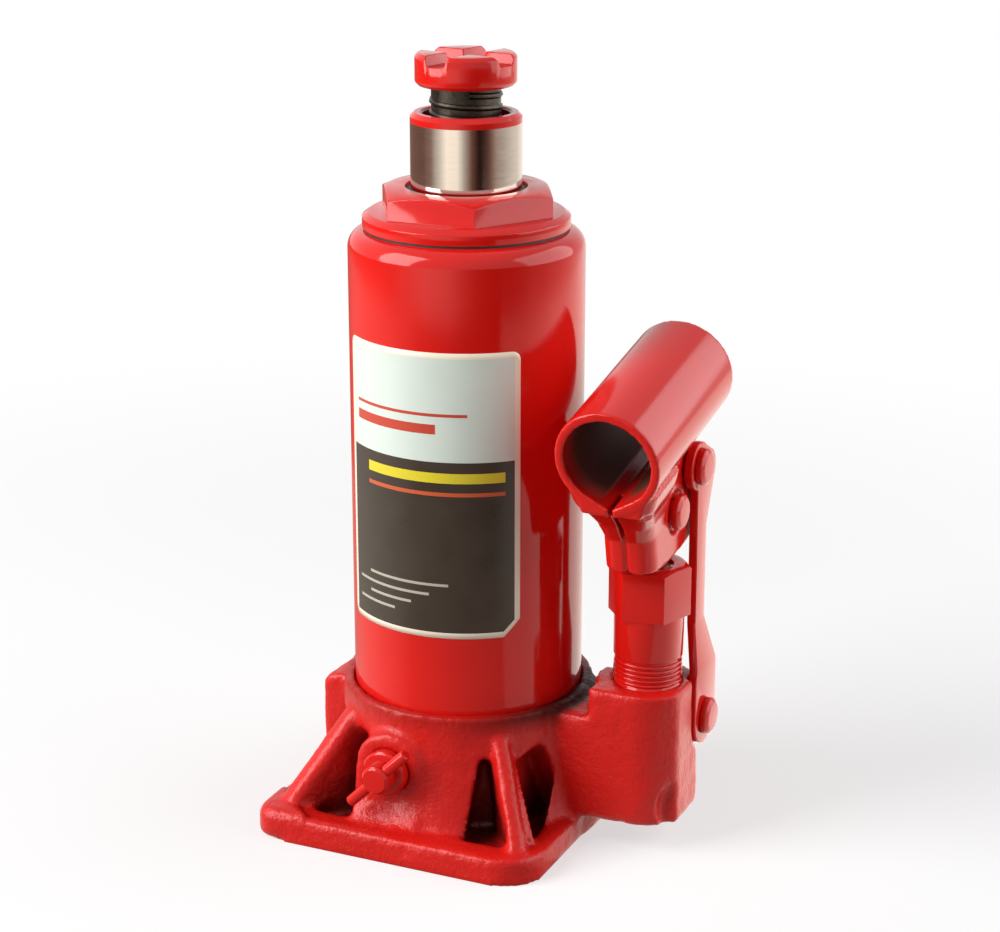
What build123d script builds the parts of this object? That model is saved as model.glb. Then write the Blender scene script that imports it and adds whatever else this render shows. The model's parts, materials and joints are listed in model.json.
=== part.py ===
"""Hydraulic bottle jack, about three tonne class, as separate real pieces.

Units are mm. Z is up and zero is the floor. The ram axis is X = Y = 0, the pump
stands on +X, and the release valve and the mouth of the handle socket face -Y.
"""
import math
import os

from build123d import *

# ---- foot and casting -------------------------------------------------------
FOOT_LEFT = 42.0           # foot edge on the side away from the pump
FOOT_RIGHT = 37.5          # foot edge on the pump side
FOOT_HALF_DEPTH = 45.0     # front and rear edge of the foot
FOOT_CORNER = 12.0         # corner radius of the foot in plan
FOOT_DRAFT = 6.0           # lean of the outer rim face, degrees
RIM_HEIGHT = 7.0
RIM_WIDTH = 8.5
RIM_ROUND = 1.5
FLOOR = 3.2                # foot thickness between the ribs
COLLAR_WALL = 3.0          # collar round the tube
TUBE_RADIUS = 30.0
COLLAR_RADIUS = TUBE_RADIUS + COLLAR_WALL
COLLAR_TOP = 37.0
SKIRT_RADIUS = COLLAR_RADIUS + 6.0  # where the skirt meets the foot
POCKET_RADIUS = COLLAR_RADIUS - 7.0 # inner wall of the pockets between the ribs
THIN_RIB = 4.5             # ribs to the corners on the pump side
THICK_RIB = 7.0            # ribs to the other two corners

# ---- reservoir, cylinder and top nut ----------------------------------------
TUBE_WALL = 2.6
TUBE_TOP = 156.8
TUBE_ROUND = 4.5           # shoulder radius of the tube
TUBE_OPENING = TUBE_RADIUS - 8.0    # rolled in edge at the top
SEAL_SEAT = COLLAR_TOP - 4.0      # floor of the counterbore that takes the tube
BOTTOM_SEAL = 1.5          # thickness of the seal under the tube
TOP_SEAL = 0.6             # thickness of the seal under the nut
CYLINDER_BORE = 15.0       # radius
CYLINDER_WALL = 4.0
CYLINDER_RADIUS = CYLINDER_BORE + CYLINDER_WALL
CYLINDER_TOP = 153.0
CYLINDER_SEAT = 16.0       # floor of the cylinder pocket in the casting
GASKET = 1.5
RESERVOIR_FLOOR = SEAL_SEAT - 6.0
RESERVOIR_RADIUS = TUBE_RADIUS - 3.5    # well below the tube, in the casting
NUT_FLANGE_RADIUS = TUBE_RADIUS - 3.75
NUT_FLANGE = 3.8
NUT_HEX = 41.0             # across flats
NUT_HEX_HEIGHT = 6.3
NUT_SHANK_RADIUS = CYLINDER_BORE + 1.4
NUT_SHANK_END = 141.0
BORE_PLAY = 0.1            # radial room round the ram in the nut

# ---- ram, extension screw and saddle ----------------------------------------
RAM_STEP = 1.0             # ram below the bore of its cylinder
RAM_RADIUS = CYLINDER_BORE - RAM_STEP
RAM_BOTTOM = 36.0
RAM_TOP = 186.0
RAM_END_RING = 2.5
HEAD_TOP = 50.0            # top of the piston head
HEAD_BOTTOM = RAM_BOTTOM + 8.0
GUIDE_BOTTOM = HEAD_BOTTOM + 1.5    # groove of the guide ring
CUP_BOTTOM = RAM_BOTTOM + 2.0
CUP_LIP = 2.6              # thickness of the cup seal at its lip
PISTON_STEM = 9.0
STOP_NECK = 7.0            # screw end that carries the stop ring
SCREW_CORE = 8.7           # root radius of the screw thread
SCREW_BORE = SCREW_CORE + 0.65      # thread bore in the ram
RAM_CAVITY = SCREW_BORE + 1.15      # wider room below the thread
SCREW_OUT = 6.5            # screw standing out between ram and saddle
SCREW_LENGTH = 65.0
SADDLE_BOTTOM = RAM_TOP + SCREW_OUT
SCREW_BOTTOM = SADDLE_BOTTOM - SCREW_LENGTH
SADDLE_RADIUS = 12.7
SADDLE_PEG = 6.0           # reduced end of the screw inside the saddle
SADDLE_HEIGHT = 8.1
SADDLE_GROOVE = 5.2
SADDLE_GROOVE_DEPTH = 2.6

# ---- pump -------------------------------------------------------------------
PUMP_X = 51.0
BOSS_RADIUS = 13.5
BOSS_TOP = 43.5
BOSS_BOTTOM = 7.5
BOSS_FLAT = 11.3           # flat on the outer side, from the pump axis
BRIDGE_HALF = 13.5
BRIDGE_TOP = 35.5
PUMP_SEAT = 27.5
SUCTION_SEAT = PUMP_SEAT - 8.5      # seat of the suction ball
SUCTION_BALL = 3.0
SUCTION_Z = SUCTION_SEAT - 5.0      # level of the suction drilling
DELIVERY_SEAT = PUMP_X - 15.0       # seat of the delivery ball
DELIVERY_END = DELIVERY_SEAT - 8.0  # inner end of its room
DELIVERY_Z = PUMP_SEAT - 4.5
DELIVERY_BALL = 2.5
PUMP_SHANK = 8.7
PUMP_CORE = 8.25           # root radius of the pump thread
PUMP_NECK = 9.0
PUMP_HEX = 18.4            # across flats
PUMP_HEX_BOTTOM = 61.8
PUMP_TOP = 75.0
PLUNGER_RADIUS = 6.0
PLUNGER_BOTTOM = 34.0
PLUNGER_PLAY = 0.06
TONGUE = 8.3               # thickness of the plunger tongue
TONGUE_LENGTH = 15.3       # from its shoulder to the pin
PLUNGER_EYE = 6.5

# ---- handle socket and links ------------------------------------------------
PIVOT_Z = 89.5             # pin through plunger and socket
SOCKET_TILT = 12.0         # degrees, rear end up
SOCKET_RISE = 26.2         # tube axis above the pivot, square to the tube
SOCKET_RADIUS = 13.5
SOCKET_BORE = 11.2
SOCKET_APEX = 15.2         # outer keel below the tube axis
SOCKET_FRONT = -26.1
SOCKET_REAR = 26.9
CHEEK_INNER = 4.5
CHEEK_OUTER = 6.8
WALL_FRONT = -18.2         # front wall of the legs along the tube
PIN_RADIUS = 3.0
LINK_TOP_Y = 9.2           # pin through socket and links, from the pivot
LINK_TOP_Z = 9.6
LINK_FOOT_Y = 12.0         # pin through casting and links
LINK_FOOT_Z = 30.5
LINK_SHEET = 2.3
LINK_IN_HIGH = 7.4         # inner face of the links beside the cheeks
LINK_IN_LOW = 9.3          # inner face of the links beside the lug
LINK_FOOT_RADIUS = 7.5
LINK_WAIST = (7.8, 14.6)   # front and rear edge of the links at mid height
HEAD_HEIGHT = 2.2          # rivet heads
PLUNGER_HEAD = 4.6         # radii of the three rivet heads
SOCKET_HEAD = 4.75
LINK_HEAD = 4.8

# ---- release and overload valves --------------------------------------------
VALVE_X = -6.5
VALVE_Z = 21.2
VALVE_FACE = -(COLLAR_RADIUS + 2.0)
VALVE_BORE = 5.05
EAR_LEFT = COLLAR_RADIUS + 7.5
OVERLOAD_Z = 21.0
OVERLOAD_STOP = EAR_LEFT - 5.5      # inner end of the overload screw
OVERLOAD_SEAT = EAR_LEFT - 16.0     # seat of the overload ball
OVERLOAD_BALL = 2.0
DUCT = 1.5                 # radius of most drilled passages
DUCT_Z = 11.0              # level of the cross drillings

UP = (Align.CENTER, Align.CENTER, Align.MIN)
PIVOT = Pos(PUMP_X, 0, PIVOT_Z)
SOCKET_PLACE = PIVOT * Rot(SOCKET_TILT, 0, 0)


# ---- helpers ----------------------------------------------------------------
def rod(radius, bottom, top, x=0.0, y=0.0):
    """Upright cylinder."""
    return Pos(x, y, bottom) * Cylinder(radius, top - bottom, align=UP)


def rod_x(radius, start, end, y=0.0, z=0.0):
    """Cylinder along X."""
    return Pos(start, y, z) * Rot(0, 90, 0) * Cylinder(radius, end - start, align=UP)


def rod_y(radius, start, end, x=0.0, z=0.0):
    """Cylinder along Y."""
    return Pos(x, start, z) * Rot(-90, 0, 0) * Cylinder(radius, end - start, align=UP)


def ring(outer, inner, bottom, top, x=0.0, y=0.0):
    """Upright ring."""
    return rod(outer, bottom, top, x, y) - rod(inner, bottom - 1, top + 1, x, y)


def block(x0, x1, y0, y1, z0, z1):
    """Box between two corners."""
    centre = Pos((x0 + x1) / 2, (y0 + y1) / 2, (z0 + z1) / 2)
    return centre * Box(x1 - x0, y1 - y0, z1 - z0)


def face_of(points):
    """Flat face with straight edges."""
    return make_face(Polyline(*points, close=True))


def turned(points):
    """Solid turned about Z from a profile of radius and height."""
    return revolve(Plane.XZ * face_of(points), Axis.Z)


def along_x(sketch, start, end):
    """Profile drawn in Y and Z, pulled along X."""
    return extrude(Plane.YZ.offset(start) * sketch, end - start)


def along_y(sketch, start, end):
    """Profile drawn in X and Z, pulled along Y."""
    return extrude(Plane.XZ.offset(-end) * sketch, end - start)


def coil(radius, wire, length, turns):
    """Compression spring that stands on Z = 0."""
    path = Helix(pitch=(length - 2 * wire) / turns, height=length - 2 * wire, radius=radius)
    start = Plane(origin=path @ 0, z_dir=path % 0)
    return Pos(0, 0, wire) * sweep(start * Circle(wire), path=path)


def toward_front(shape, x, z):
    """Turn a shape built on Z so that its top points to -Y."""
    return Pos(x, 0, z) * Rot(90, 0, 0) * shape


# ---- base casting -----------------------------------------------------------
def foot_outline(inset):
    width = FOOT_LEFT + FOOT_RIGHT - 2 * inset
    depth = 2 * (FOOT_HALF_DEPTH - inset)
    corner = max(FOOT_CORNER - inset, 3.5)
    return Pos((FOOT_RIGHT - FOOT_LEFT) / 2, 0) * RectangleRounded(width, depth, corner)


def foot_slab():
    slab = extrude(foot_outline(0), RIM_HEIGHT, taper=FOOT_DRAFT)
    return fillet(slab.edges().group_by(Axis.Z)[-1], RIM_ROUND)


def core():
    """Turned heart of the casting with its hollow skirt."""
    low = (SKIRT_RADIUS, FLOOR + 1)
    high = (COLLAR_RADIUS, COLLAR_TOP - 8)
    middle = (COLLAR_RADIUS + 1.4, (low[1] + high[1]) / 2)
    outline = Polyline(high, (COLLAR_RADIUS, COLLAR_TOP), (0, COLLAR_TOP), (0, 1),
                       (SKIRT_RADIUS, 1), low)
    outline += ThreePointArc(low, middle, high)
    return revolve(Plane.XZ * make_face(outline), Axis.Z)


def corner_angles():
    """Directions of the two front foot corners, both as positive angles."""
    right = math.degrees(math.atan2(FOOT_HALF_DEPTH, FOOT_RIGHT))
    left = 180 - math.degrees(math.atan2(FOOT_HALF_DEPTH, FOOT_LEFT))
    return right, left


def pocket(start, end):
    """Hollow between two ribs, given by its two directions in degrees."""
    far = 3 * FOOT_HALF_DEPTH
    corners = [(0, 0)]
    for angle in (start, (start + end) / 2, end):
        corners.append((far * math.cos(math.radians(angle)), far * math.sin(math.radians(angle))))
    area = foot_outline(RIM_WIDTH) & face_of(corners)
    area = area - Circle(POCKET_RADIUS)
    area = offset(offset(area, -1.8), 1.8)
    roof = turned([(0, FLOOR), (far, FLOOR), (far, COLLAR_TOP - 8), (COLLAR_RADIUS + 1, COLLAR_TOP - 8),
                   (POCKET_RADIUS, RESERVOIR_FLOOR - 5), (0, RESERVOIR_FLOOR - 5)])
    return extrude(area, COLLAR_TOP) & roof


def pockets():
    right, left = corner_angles()
    front = ((-left - 40, -left - 4), (-left + 4, -95), (-76, -right - 5), (-right + 3, -12))
    rear = ((12, right - 3), (right + 5, 76), (100, left - 6), (left + 4, left + 40))
    return [pocket(start, end) for start, end in front + rear]


def corner_rib(angle, thickness, rounding):
    """Rib from the collar down to a foot corner."""
    right, left = corner_angles()
    across = FOOT_RIGHT if abs(angle) < 90 else FOOT_LEFT
    end = math.hypot(across, FOOT_HALF_DEPTH) - FOOT_CORNER * 0.42 - 3
    start = POCKET_RADIUS - 2
    high = COLLAR_TOP - 6
    profile = face_of([(start, 1), (start, high), (COLLAR_RADIUS + 1, high), (end, RIM_HEIGHT),
                       (end, 1)])
    rib = extrude(Plane.XZ * profile, thickness / 2, both=True)
    ridge = [edge for edge in rib.edges()
             if RIM_HEIGHT + 3 < edge.center().Z < high - 3 and edge.center().X > COLLAR_RADIUS + 2]
    return Rot(0, 0, angle) * fillet(ridge, rounding)


def valve_block():
    """Arched block round the release valve, with the toe below it."""
    radius = VALVE_BORE + 4.45
    arch = face_of([(VALVE_X - radius - 1, 1), (VALVE_X + radius + 1, 1),
                    (VALVE_X + radius, VALVE_Z), (VALVE_X - radius, VALVE_Z)])
    arch = arch + Pos(VALVE_X, VALVE_Z) * Circle(radius)
    toe = face_of([(VALVE_FACE + 5, 2), (VALVE_FACE + 5, 13), (VALVE_FACE, 12),
                   (VALVE_FACE - 4, RIM_HEIGHT), (VALVE_FACE - 4, 2)])
    body = along_y(arch, VALVE_FACE, -CYLINDER_RADIUS - 1)
    return body + along_x(toe, VALVE_X - radius, VALVE_X + radius)


def ear():
    """Block that holds the overload valve on the side away from the pump."""
    solid = block(-EAR_LEFT, 5 - COLLAR_RADIUS, -7, 7, 2, COLLAR_TOP - 5)
    edges = solid.edges().filter_by(Axis.Y).sort_by(lambda edge: edge.center().Z - edge.center().X)
    return fillet(edges[-1], 4)


def boss():
    """Pump boss, its bridge to the core and the lug for the link pin."""
    column = rod(BOSS_RADIUS, BOSS_BOTTOM, BOSS_TOP, PUMP_X)
    column = fillet(column.edges().group_by(Axis.Z)[0], 1.6)
    column -= block(PUMP_X + BOSS_FLAT, PUMP_X + 30, -30, 30, 0, 90)
    step = PUMP_X - 11
    inner = CYLINDER_RADIUS + 1
    bridge = block(inner, FOOT_RIGHT, -BRIDGE_HALF, BRIDGE_HALF, 2, BRIDGE_TOP)
    bridge += block(inner, PUMP_X - 3, -BRIDGE_HALF, BRIDGE_HALF, BOSS_BOTTOM, BRIDGE_TOP)
    bridge += block(step, PUMP_X, -BOSS_RADIUS, BOSS_RADIUS, BOSS_BOTTOM + 1, BOSS_TOP)
    half = LINK_IN_LOW - 0.3
    lug = rod_x(7, PUMP_X - half, PUMP_X + half, LINK_FOOT_Y, LINK_FOOT_Z)
    lug += block(PUMP_X - half, PUMP_X + half, 6, LINK_FOOT_Y, LINK_FOOT_Z - 7, LINK_FOOT_Z + 7)
    return column + bridge + lug


def link_room():
    """Cuts that let the feet of the links pass the boss."""
    radius = LINK_FOOT_RADIUS + 0.8
    half = LINK_IN_LOW - 0.3
    inside = PUMP_X - LINK_IN_LOW - LINK_SHEET - HEAD_HEIGHT - 1
    cuts = []
    for start, end in ((inside, PUMP_X - half), (PUMP_X + half, PUMP_X + 20)):
        round_part = rod_x(radius, start, end, LINK_FOOT_Y, LINK_FOOT_Z)
        cuts.append(round_part)
        cuts.append(block(start, end, LINK_FOOT_Y - radius, LINK_FOOT_Y + radius,
                          LINK_FOOT_Z, BOSS_TOP + 5))
    return cuts


def pump_ducts():
    """Suction and delivery drillings, and the chamber under the plunger."""
    inlet = ((CYLINDER_RADIUS + RESERVOIR_RADIUS) / 2 - 0.4, 8)
    reach = math.hypot(PUMP_X - inlet[0], inlet[1])
    slanted = Pos(PUMP_X, 0, SUCTION_Z) * Rot(0, 0, math.degrees(
        math.atan2(inlet[1], inlet[0] - PUMP_X)))
    return [
        rod(PUMP_SHANK + 0.05, PUMP_SEAT, BOSS_TOP + 5, PUMP_X),
        rod(SUCTION_BALL + 1.5, SUCTION_SEAT, PUMP_SEAT + 1, PUMP_X),
        rod(1.6, SUCTION_Z, SUCTION_SEAT + 1, PUMP_X),
        slanted * rod_x(DUCT, -1, reach + 0.5),
        rod(DUCT, SUCTION_Z, RESERVOIR_FLOOR + 1, *inlet),
        rod_x(DUCT, DELIVERY_SEAT, PUMP_X - 4, 0, DELIVERY_Z),
        rod_x(DELIVERY_BALL + 1, DELIVERY_END, DELIVERY_SEAT, 0, DELIVERY_Z),
        rod(DUCT, DUCT_Z, DELIVERY_Z, DELIVERY_END),
        rod_x(DUCT, 0, DELIVERY_END + 1, 0, DUCT_Z),
        rod(2, DUCT_Z, CYLINDER_SEAT + 1),
    ]


def release_ducts():
    return [
        rod(DUCT, DUCT_Z, CYLINDER_SEAT + 1, VALVE_X, -6),
        rod_y(DUCT, VALVE_FACE + 14.2, -5, VALVE_X, DUCT_Z),
        rod(DUCT - 0.15, DUCT_Z, VALVE_Z + 0.5, VALVE_X, VALVE_FACE + 14.2),
        rod_y(DUCT, VALVE_FACE + 11, VALVE_FACE + 15, VALVE_X, VALVE_Z),
        rod_y(3.2, VALVE_FACE + 7, VALVE_FACE + 12, VALVE_X, VALVE_Z),
        rod(DUCT, VALVE_Z, RESERVOIR_FLOOR + 1, VALVE_X, VALVE_FACE + 10),
        rod_y(VALVE_BORE, VALVE_FACE - 3, VALVE_FACE + 7, VALVE_X, VALVE_Z),
    ]


def overload_ducts():
    return [
        rod_x(4, -EAR_LEFT - 1, -OVERLOAD_STOP, 0, OVERLOAD_Z),
        rod_x(3, -OVERLOAD_STOP - 0.5, -OVERLOAD_SEAT, 0, OVERLOAD_Z),
        rod_x(1.2, -OVERLOAD_SEAT - 0.5, 3.5 - OVERLOAD_SEAT, 0, OVERLOAD_Z),
        rod(1.2, DUCT_Z, OVERLOAD_Z, 3 - OVERLOAD_SEAT),
        rod_x(1.2, 3 - OVERLOAD_SEAT, 0, 0, DUCT_Z),
        rod(1.2, OVERLOAD_Z, RESERVOIR_FLOOR + 1, -OVERLOAD_SEAT - 0.7),
    ]


def base_casting():
    right, left = corner_angles()
    body = foot_slab() + core()
    for hollow in pockets():
        body -= hollow
    for angle, thickness, rounding in ((-right, THIN_RIB, 1.2), (-left, THICK_RIB, 2.6),
                                       (right, THIN_RIB, 1.2), (left, THICK_RIB, 2.6)):
        body += corner_rib(angle, thickness, rounding)
    body = body + valve_block() + ear() + boss()
    body -= rod(TUBE_RADIUS + 0.1, SEAL_SEAT, COLLAR_TOP + 9)
    body -= rod(RESERVOIR_RADIUS, RESERVOIR_FLOOR, SEAL_SEAT + 1)
    body -= rod(CYLINDER_RADIUS + 0.1, CYLINDER_SEAT, RESERVOIR_FLOOR + 1)
    for cut in link_room() + pump_ducts() + release_ducts() + overload_ducts():
        body -= cut
    spot = PUMP_X + 18
    body -= rod_y(11, -BOSS_RADIUS - 6, -7.6, spot, BOSS_BOTTOM + 5)
    body -= rod_x(PIN_RADIUS, PUMP_X - 10, PUMP_X + 10, LINK_FOOT_Y, LINK_FOOT_Z)
    return body


# ---- reservoir and cylinder -------------------------------------------------
def tube_profile(radius, top, rounding):
    """Half section of a closed tube, as a face in radius and height."""
    low = SEAL_SEAT + BOTTOM_SEAL
    turn = rounding * math.sqrt(0.5)
    bend = (radius - rounding + turn, top - rounding + turn)
    outline = Polyline((radius - rounding, top), (0, top), (0, low), (radius, low),
                       (radius, top - rounding))
    outline += ThreePointArc((radius, top - rounding), bend, (radius - rounding, top))
    return make_face(outline)


def reservoir_tube():
    outer = tube_profile(TUBE_RADIUS, TUBE_TOP, TUBE_ROUND)
    inner = tube_profile(TUBE_RADIUS - TUBE_WALL, TUBE_TOP - TUBE_WALL, TUBE_ROUND - TUBE_WALL)
    body = revolve(Plane.XZ * outer, Axis.Z) - revolve(Plane.XZ * inner, Axis.Z)
    body -= rod(TUBE_OPENING, TUBE_TOP - 10, TUBE_TOP + 1)
    return body - rod_y(4, TUBE_RADIUS - 6, TUBE_RADIUS + 2, 0, TUBE_TOP - 16)


def filler_plug():
    height = TUBE_TOP - 16
    head = rod_y(6, TUBE_RADIUS - 3, TUBE_RADIUS + 2.2, 0, height)
    head -= rod(TUBE_RADIUS, height - 10, height + 10)
    return head + rod_y(4, TUBE_RADIUS - 4, TUBE_RADIUS + 1, 0, height)


def pressure_cylinder():
    low = CYLINDER_SEAT + GASKET
    body = ring(CYLINDER_RADIUS, CYLINDER_BORE, low, CYLINDER_TOP)
    return body - rod(NUT_SHANK_RADIUS + 0.1, NUT_SHANK_END, CYLINDER_TOP + 1)


def hexagon(across, bottom, height, angle, x=0.0):
    """Hexagonal prism with its corners turned by an angle, and bevelled corners on top."""
    prism = Pos(x, 0, bottom) * Rot(0, 0, angle) * extrude(
        RegularPolygon(across / 2, 6, major_radius=False), height)
    corner = across / math.sqrt(3)
    drop = (corner - across / 2 + 0.6) * math.tan(math.radians(30))
    bevel = turned([(0, bottom), (corner + 1, bottom), (corner + 1, bottom + height - drop),
                    (across / 2 - 0.6, bottom + height), (0, bottom + height)])
    return prism & (Pos(x, 0, 0) * bevel)


def top_nut():
    flange_bottom = TUBE_TOP + TOP_SEAL
    hex_bottom = flange_bottom + NUT_FLANGE
    top = hex_bottom + NUT_HEX_HEIGHT
    body = turned([(0, flange_bottom), (NUT_FLANGE_RADIUS, flange_bottom),
                   (NUT_FLANGE_RADIUS, hex_bottom - 1.2), (NUT_FLANGE_RADIUS - 1.6, hex_bottom),
                   (0, hex_bottom)])
    body += rod(NUT_SHANK_RADIUS, NUT_SHANK_END, flange_bottom)
    body += hexagon(NUT_HEX, hex_bottom, NUT_HEX_HEIGHT, 0)
    body -= rod(RAM_RADIUS + BORE_PLAY, NUT_SHANK_END - 1, top + 1)
    body -= rod(RAM_RADIUS + 1.4, top - 2.4, top + 1)
    return body - rod(CYLINDER_BORE + 0.4, NUT_SHANK_END + 7, NUT_SHANK_END + 10)


def gland_seal():
    return ring(CYLINDER_BORE + 0.4, RAM_RADIUS + 0.03, NUT_SHANK_END + 7, NUT_SHANK_END + 10)


def wiper_ring():
    top = TUBE_TOP + TOP_SEAL + NUT_FLANGE + NUT_HEX_HEIGHT
    return turned([(RAM_RADIUS + 0.03, top - 2.4), (RAM_RADIUS + 1.4, top - 2.4),
                   (RAM_RADIUS + 1.4, top - 0.9), (RAM_RADIUS + 0.03, top - 0.5)])


# ---- ram --------------------------------------------------------------------
def ram():
    groove = CYLINDER_BORE - 2.1
    head = CYLINDER_BORE - 0.1
    body = turned([(0, RAM_BOTTOM), (PISTON_STEM, RAM_BOTTOM), (PISTON_STEM, HEAD_BOTTOM),
                   (head, HEAD_BOTTOM), (head, GUIDE_BOTTOM), (groove, GUIDE_BOTTOM),
                   (groove, HEAD_TOP - 1.5), (head, HEAD_TOP - 1.5), (head, HEAD_TOP - 0.5),
                   (RAM_RADIUS, HEAD_TOP), (RAM_RADIUS, RAM_TOP - RAM_END_RING),
                   (RAM_CAVITY + 1, RAM_TOP - RAM_END_RING), (RAM_CAVITY + 1, RAM_TOP - 7),
                   (0, RAM_TOP - 7)])
    body -= rod(SCREW_BORE, RAM_TOP - 12, RAM_TOP)
    body -= rod(RAM_CAVITY, SCREW_BOTTOM - 7, RAM_TOP - 10)
    return body - ring(PISTON_STEM + 1, PISTON_STEM - 0.8, CUP_BOTTOM - 1.2, CUP_BOTTOM)


def ram_end_ring():
    low = RAM_TOP - RAM_END_RING
    bore = RAM_CAVITY + 0.5
    return turned([(bore, low), (RAM_RADIUS, low), (RAM_RADIUS, RAM_TOP - 1.1),
                   (RAM_RADIUS - 1.1, RAM_TOP), (bore + 0.6, RAM_TOP), (bore, RAM_TOP - 0.6)])


def ram_seal_cup():
    edge = CYLINDER_BORE - 0.04
    root = CUP_BOTTOM + 1.5
    return turned([(PISTON_STEM, root), (CYLINDER_BORE - CUP_LIP, root), (edge - 1, CUP_BOTTOM),
                   (edge, CUP_BOTTOM + 0.4), (edge, HEAD_BOTTOM), (PISTON_STEM, HEAD_BOTTOM)])


def ram_guide_ring():
    return ring(CYLINDER_BORE - 0.05, CYLINDER_BORE - 2.1, GUIDE_BOTTOM, HEAD_TOP - 1.5)


def seal_retainer():
    return ring(PISTON_STEM + 1.6, PISTON_STEM - 0.8, CUP_BOTTOM - 1.2, CUP_BOTTOM)


# ---- extension screw --------------------------------------------------------
def extension_screw():
    body = rod(SCREW_CORE, SCREW_BOTTOM + 2, SADDLE_BOTTOM)
    body += rod(STOP_NECK, SCREW_BOTTOM, SCREW_BOTTOM + 3)
    return body + rod(SADDLE_PEG, SADDLE_BOTTOM - 1, SADDLE_BOTTOM + 4)


def screw_stop_ring():
    return ring(RAM_CAVITY - 0.3, STOP_NECK + 0.05, SCREW_BOTTOM, SCREW_BOTTOM + 2)


def saddle():
    top = SADDLE_BOTTOM + SADDLE_HEIGHT
    body = turned([(0, SADDLE_BOTTOM), (SADDLE_RADIUS - 1, SADDLE_BOTTOM),
                   (SADDLE_RADIUS, SADDLE_BOTTOM + 1), (SADDLE_RADIUS, top - 0.9),
                   (SADDLE_RADIUS - 0.9, top), (0, top)])
    body -= rod(SADDLE_PEG, SADDLE_BOTTOM - 1, SADDLE_BOTTOM + 4)
    half = SADDLE_GROOVE / 2
    section = face_of([(-half - 0.9, top + 0.1), (-half, top - SADDLE_GROOVE_DEPTH),
                       (half, top - SADDLE_GROOVE_DEPTH), (half + 0.9, top + 0.1)])
    groove = extrude(Plane.XZ * section, SADDLE_RADIUS + 2, both=True)
    for angle in (-12, 78):
        body -= Rot(0, 0, angle) * groove
    return body


# ---- pump -------------------------------------------------------------------
def pump_body():
    low = PUMP_SEAT + 1.5
    shape = turned([(0, low), (PUMP_SHANK - 1, low), (PUMP_SHANK, low + 1),
                    (PUMP_SHANK, BOSS_TOP - 0.3), (PUMP_CORE, BOSS_TOP + 0.2),
                    (PUMP_CORE, BOSS_TOP + 7.1), (PUMP_NECK - 0.2, BOSS_TOP + 7.1),
                    (PUMP_NECK, BOSS_TOP + 7.5), (PUMP_NECK, PUMP_HEX_BOTTOM), (0, PUMP_HEX_BOTTOM)])
    body = Pos(PUMP_X, 0, 0) * shape
    body += hexagon(PUMP_HEX, PUMP_HEX_BOTTOM, PUMP_TOP - PUMP_HEX_BOTTOM, 11, PUMP_X)
    body -= rod(PLUNGER_RADIUS + PLUNGER_PLAY, low - 1, PUMP_TOP + 1, PUMP_X)
    return body - rod(PLUNGER_RADIUS + 1.8, PUMP_TOP - 12, PUMP_TOP - 8.5, PUMP_X)


def pump_gland_seal():
    return ring(PLUNGER_RADIUS + 1.8, PLUNGER_RADIUS + 0.03, PUMP_TOP - 12, PUMP_TOP - 8.5, PUMP_X)


def pump_washer():
    return ring(PUMP_SHANK - 0.1, PLUNGER_RADIUS + 0.4, PUMP_SEAT, PUMP_SEAT + 1.5, PUMP_X)


def pump_plunger():
    tongue_low = PIVOT_Z - TONGUE_LENGTH
    body = rod(PLUNGER_RADIUS, PLUNGER_BOTTOM, tongue_low, PUMP_X)
    body = chamfer(body.edges().group_by(Axis.Z)[0], 0.8)
    half = TONGUE / 2
    eye = rod_x(PLUNGER_EYE, PUMP_X - half, PUMP_X + half, 0, PIVOT_Z)
    shank = rod(PLUNGER_RADIUS, tongue_low, PIVOT_Z, PUMP_X)
    shank = shank & block(PUMP_X - half, PUMP_X + half, -9, 9, tongue_low, PIVOT_Z)
    return body + shank + eye - rod_x(PIN_RADIUS, PUMP_X - 9, PUMP_X + 9, 0, PIVOT_Z)


def rivet(half, head, y, z):
    """Pin along X with a low round head outside each half width."""
    profile = turned([(0, -half - HEAD_HEIGHT), (head - 1.1, -half - HEAD_HEIGHT),
                      (head, -half - HEAD_HEIGHT + 0.7), (head, -half), (PIN_RADIUS, -half),
                      (PIN_RADIUS, half), (head, half), (head, half + HEAD_HEIGHT - 0.7),
                      (head - 1.1, half + HEAD_HEIGHT), (0, half + HEAD_HEIGHT)])
    return Pos(PUMP_X, y, z) * Rot(0, 90, 0) * profile


def plunger_pin():
    return rivet(CHEEK_OUTER + 0.1, PLUNGER_HEAD, 0, PIVOT_Z)


def socket_link_pin():
    return rivet(LINK_IN_HIGH + LINK_SHEET + 0.1, SOCKET_HEAD, LINK_TOP_Y, PIVOT_Z + LINK_TOP_Z)


def link_pivot_pin():
    return rivet(LINK_IN_LOW + LINK_SHEET + 0.1, LINK_HEAD, LINK_FOOT_Y, LINK_FOOT_Z)


# ---- handle socket ----------------------------------------------------------
def teardrop(radius, apex):
    """Round section drawn down to a keel."""
    bend = math.acos(radius / apex)
    side = radius * math.sin(bend)
    low = -radius * math.cos(bend)
    return Circle(radius) + face_of([(0, 0), (-side, low), (0, -apex), (side, low)])


def socket_legs():
    """Folded legs: rounded front wall and two cheeks, before the hollow is cut."""
    width = 2 * CHEEK_OUTER
    plan = Pos(0, 8) * RectangleRounded(width, 16 - 2 * WALL_FRONT, 4.2)
    plan = plan & Pos(0, 10 + WALL_FRONT / 2) * Rectangle(width, 20 - WALL_FRONT)
    upright = Pos(0, 0, -20) * extrude(plan, 40)
    side = face_of([(WALL_FRONT - 1, 14), (WALL_FRONT - 1, -8.6), (-14, -9.1), (-10, -10.4),
                    (2.5, -11.8), (9, -11.8), (14, -8.5), (16.2, -3), (17, 4), (17, 10), (14, 14)])
    return upright & along_x(side, -CHEEK_OUTER, CHEEK_OUTER)


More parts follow.
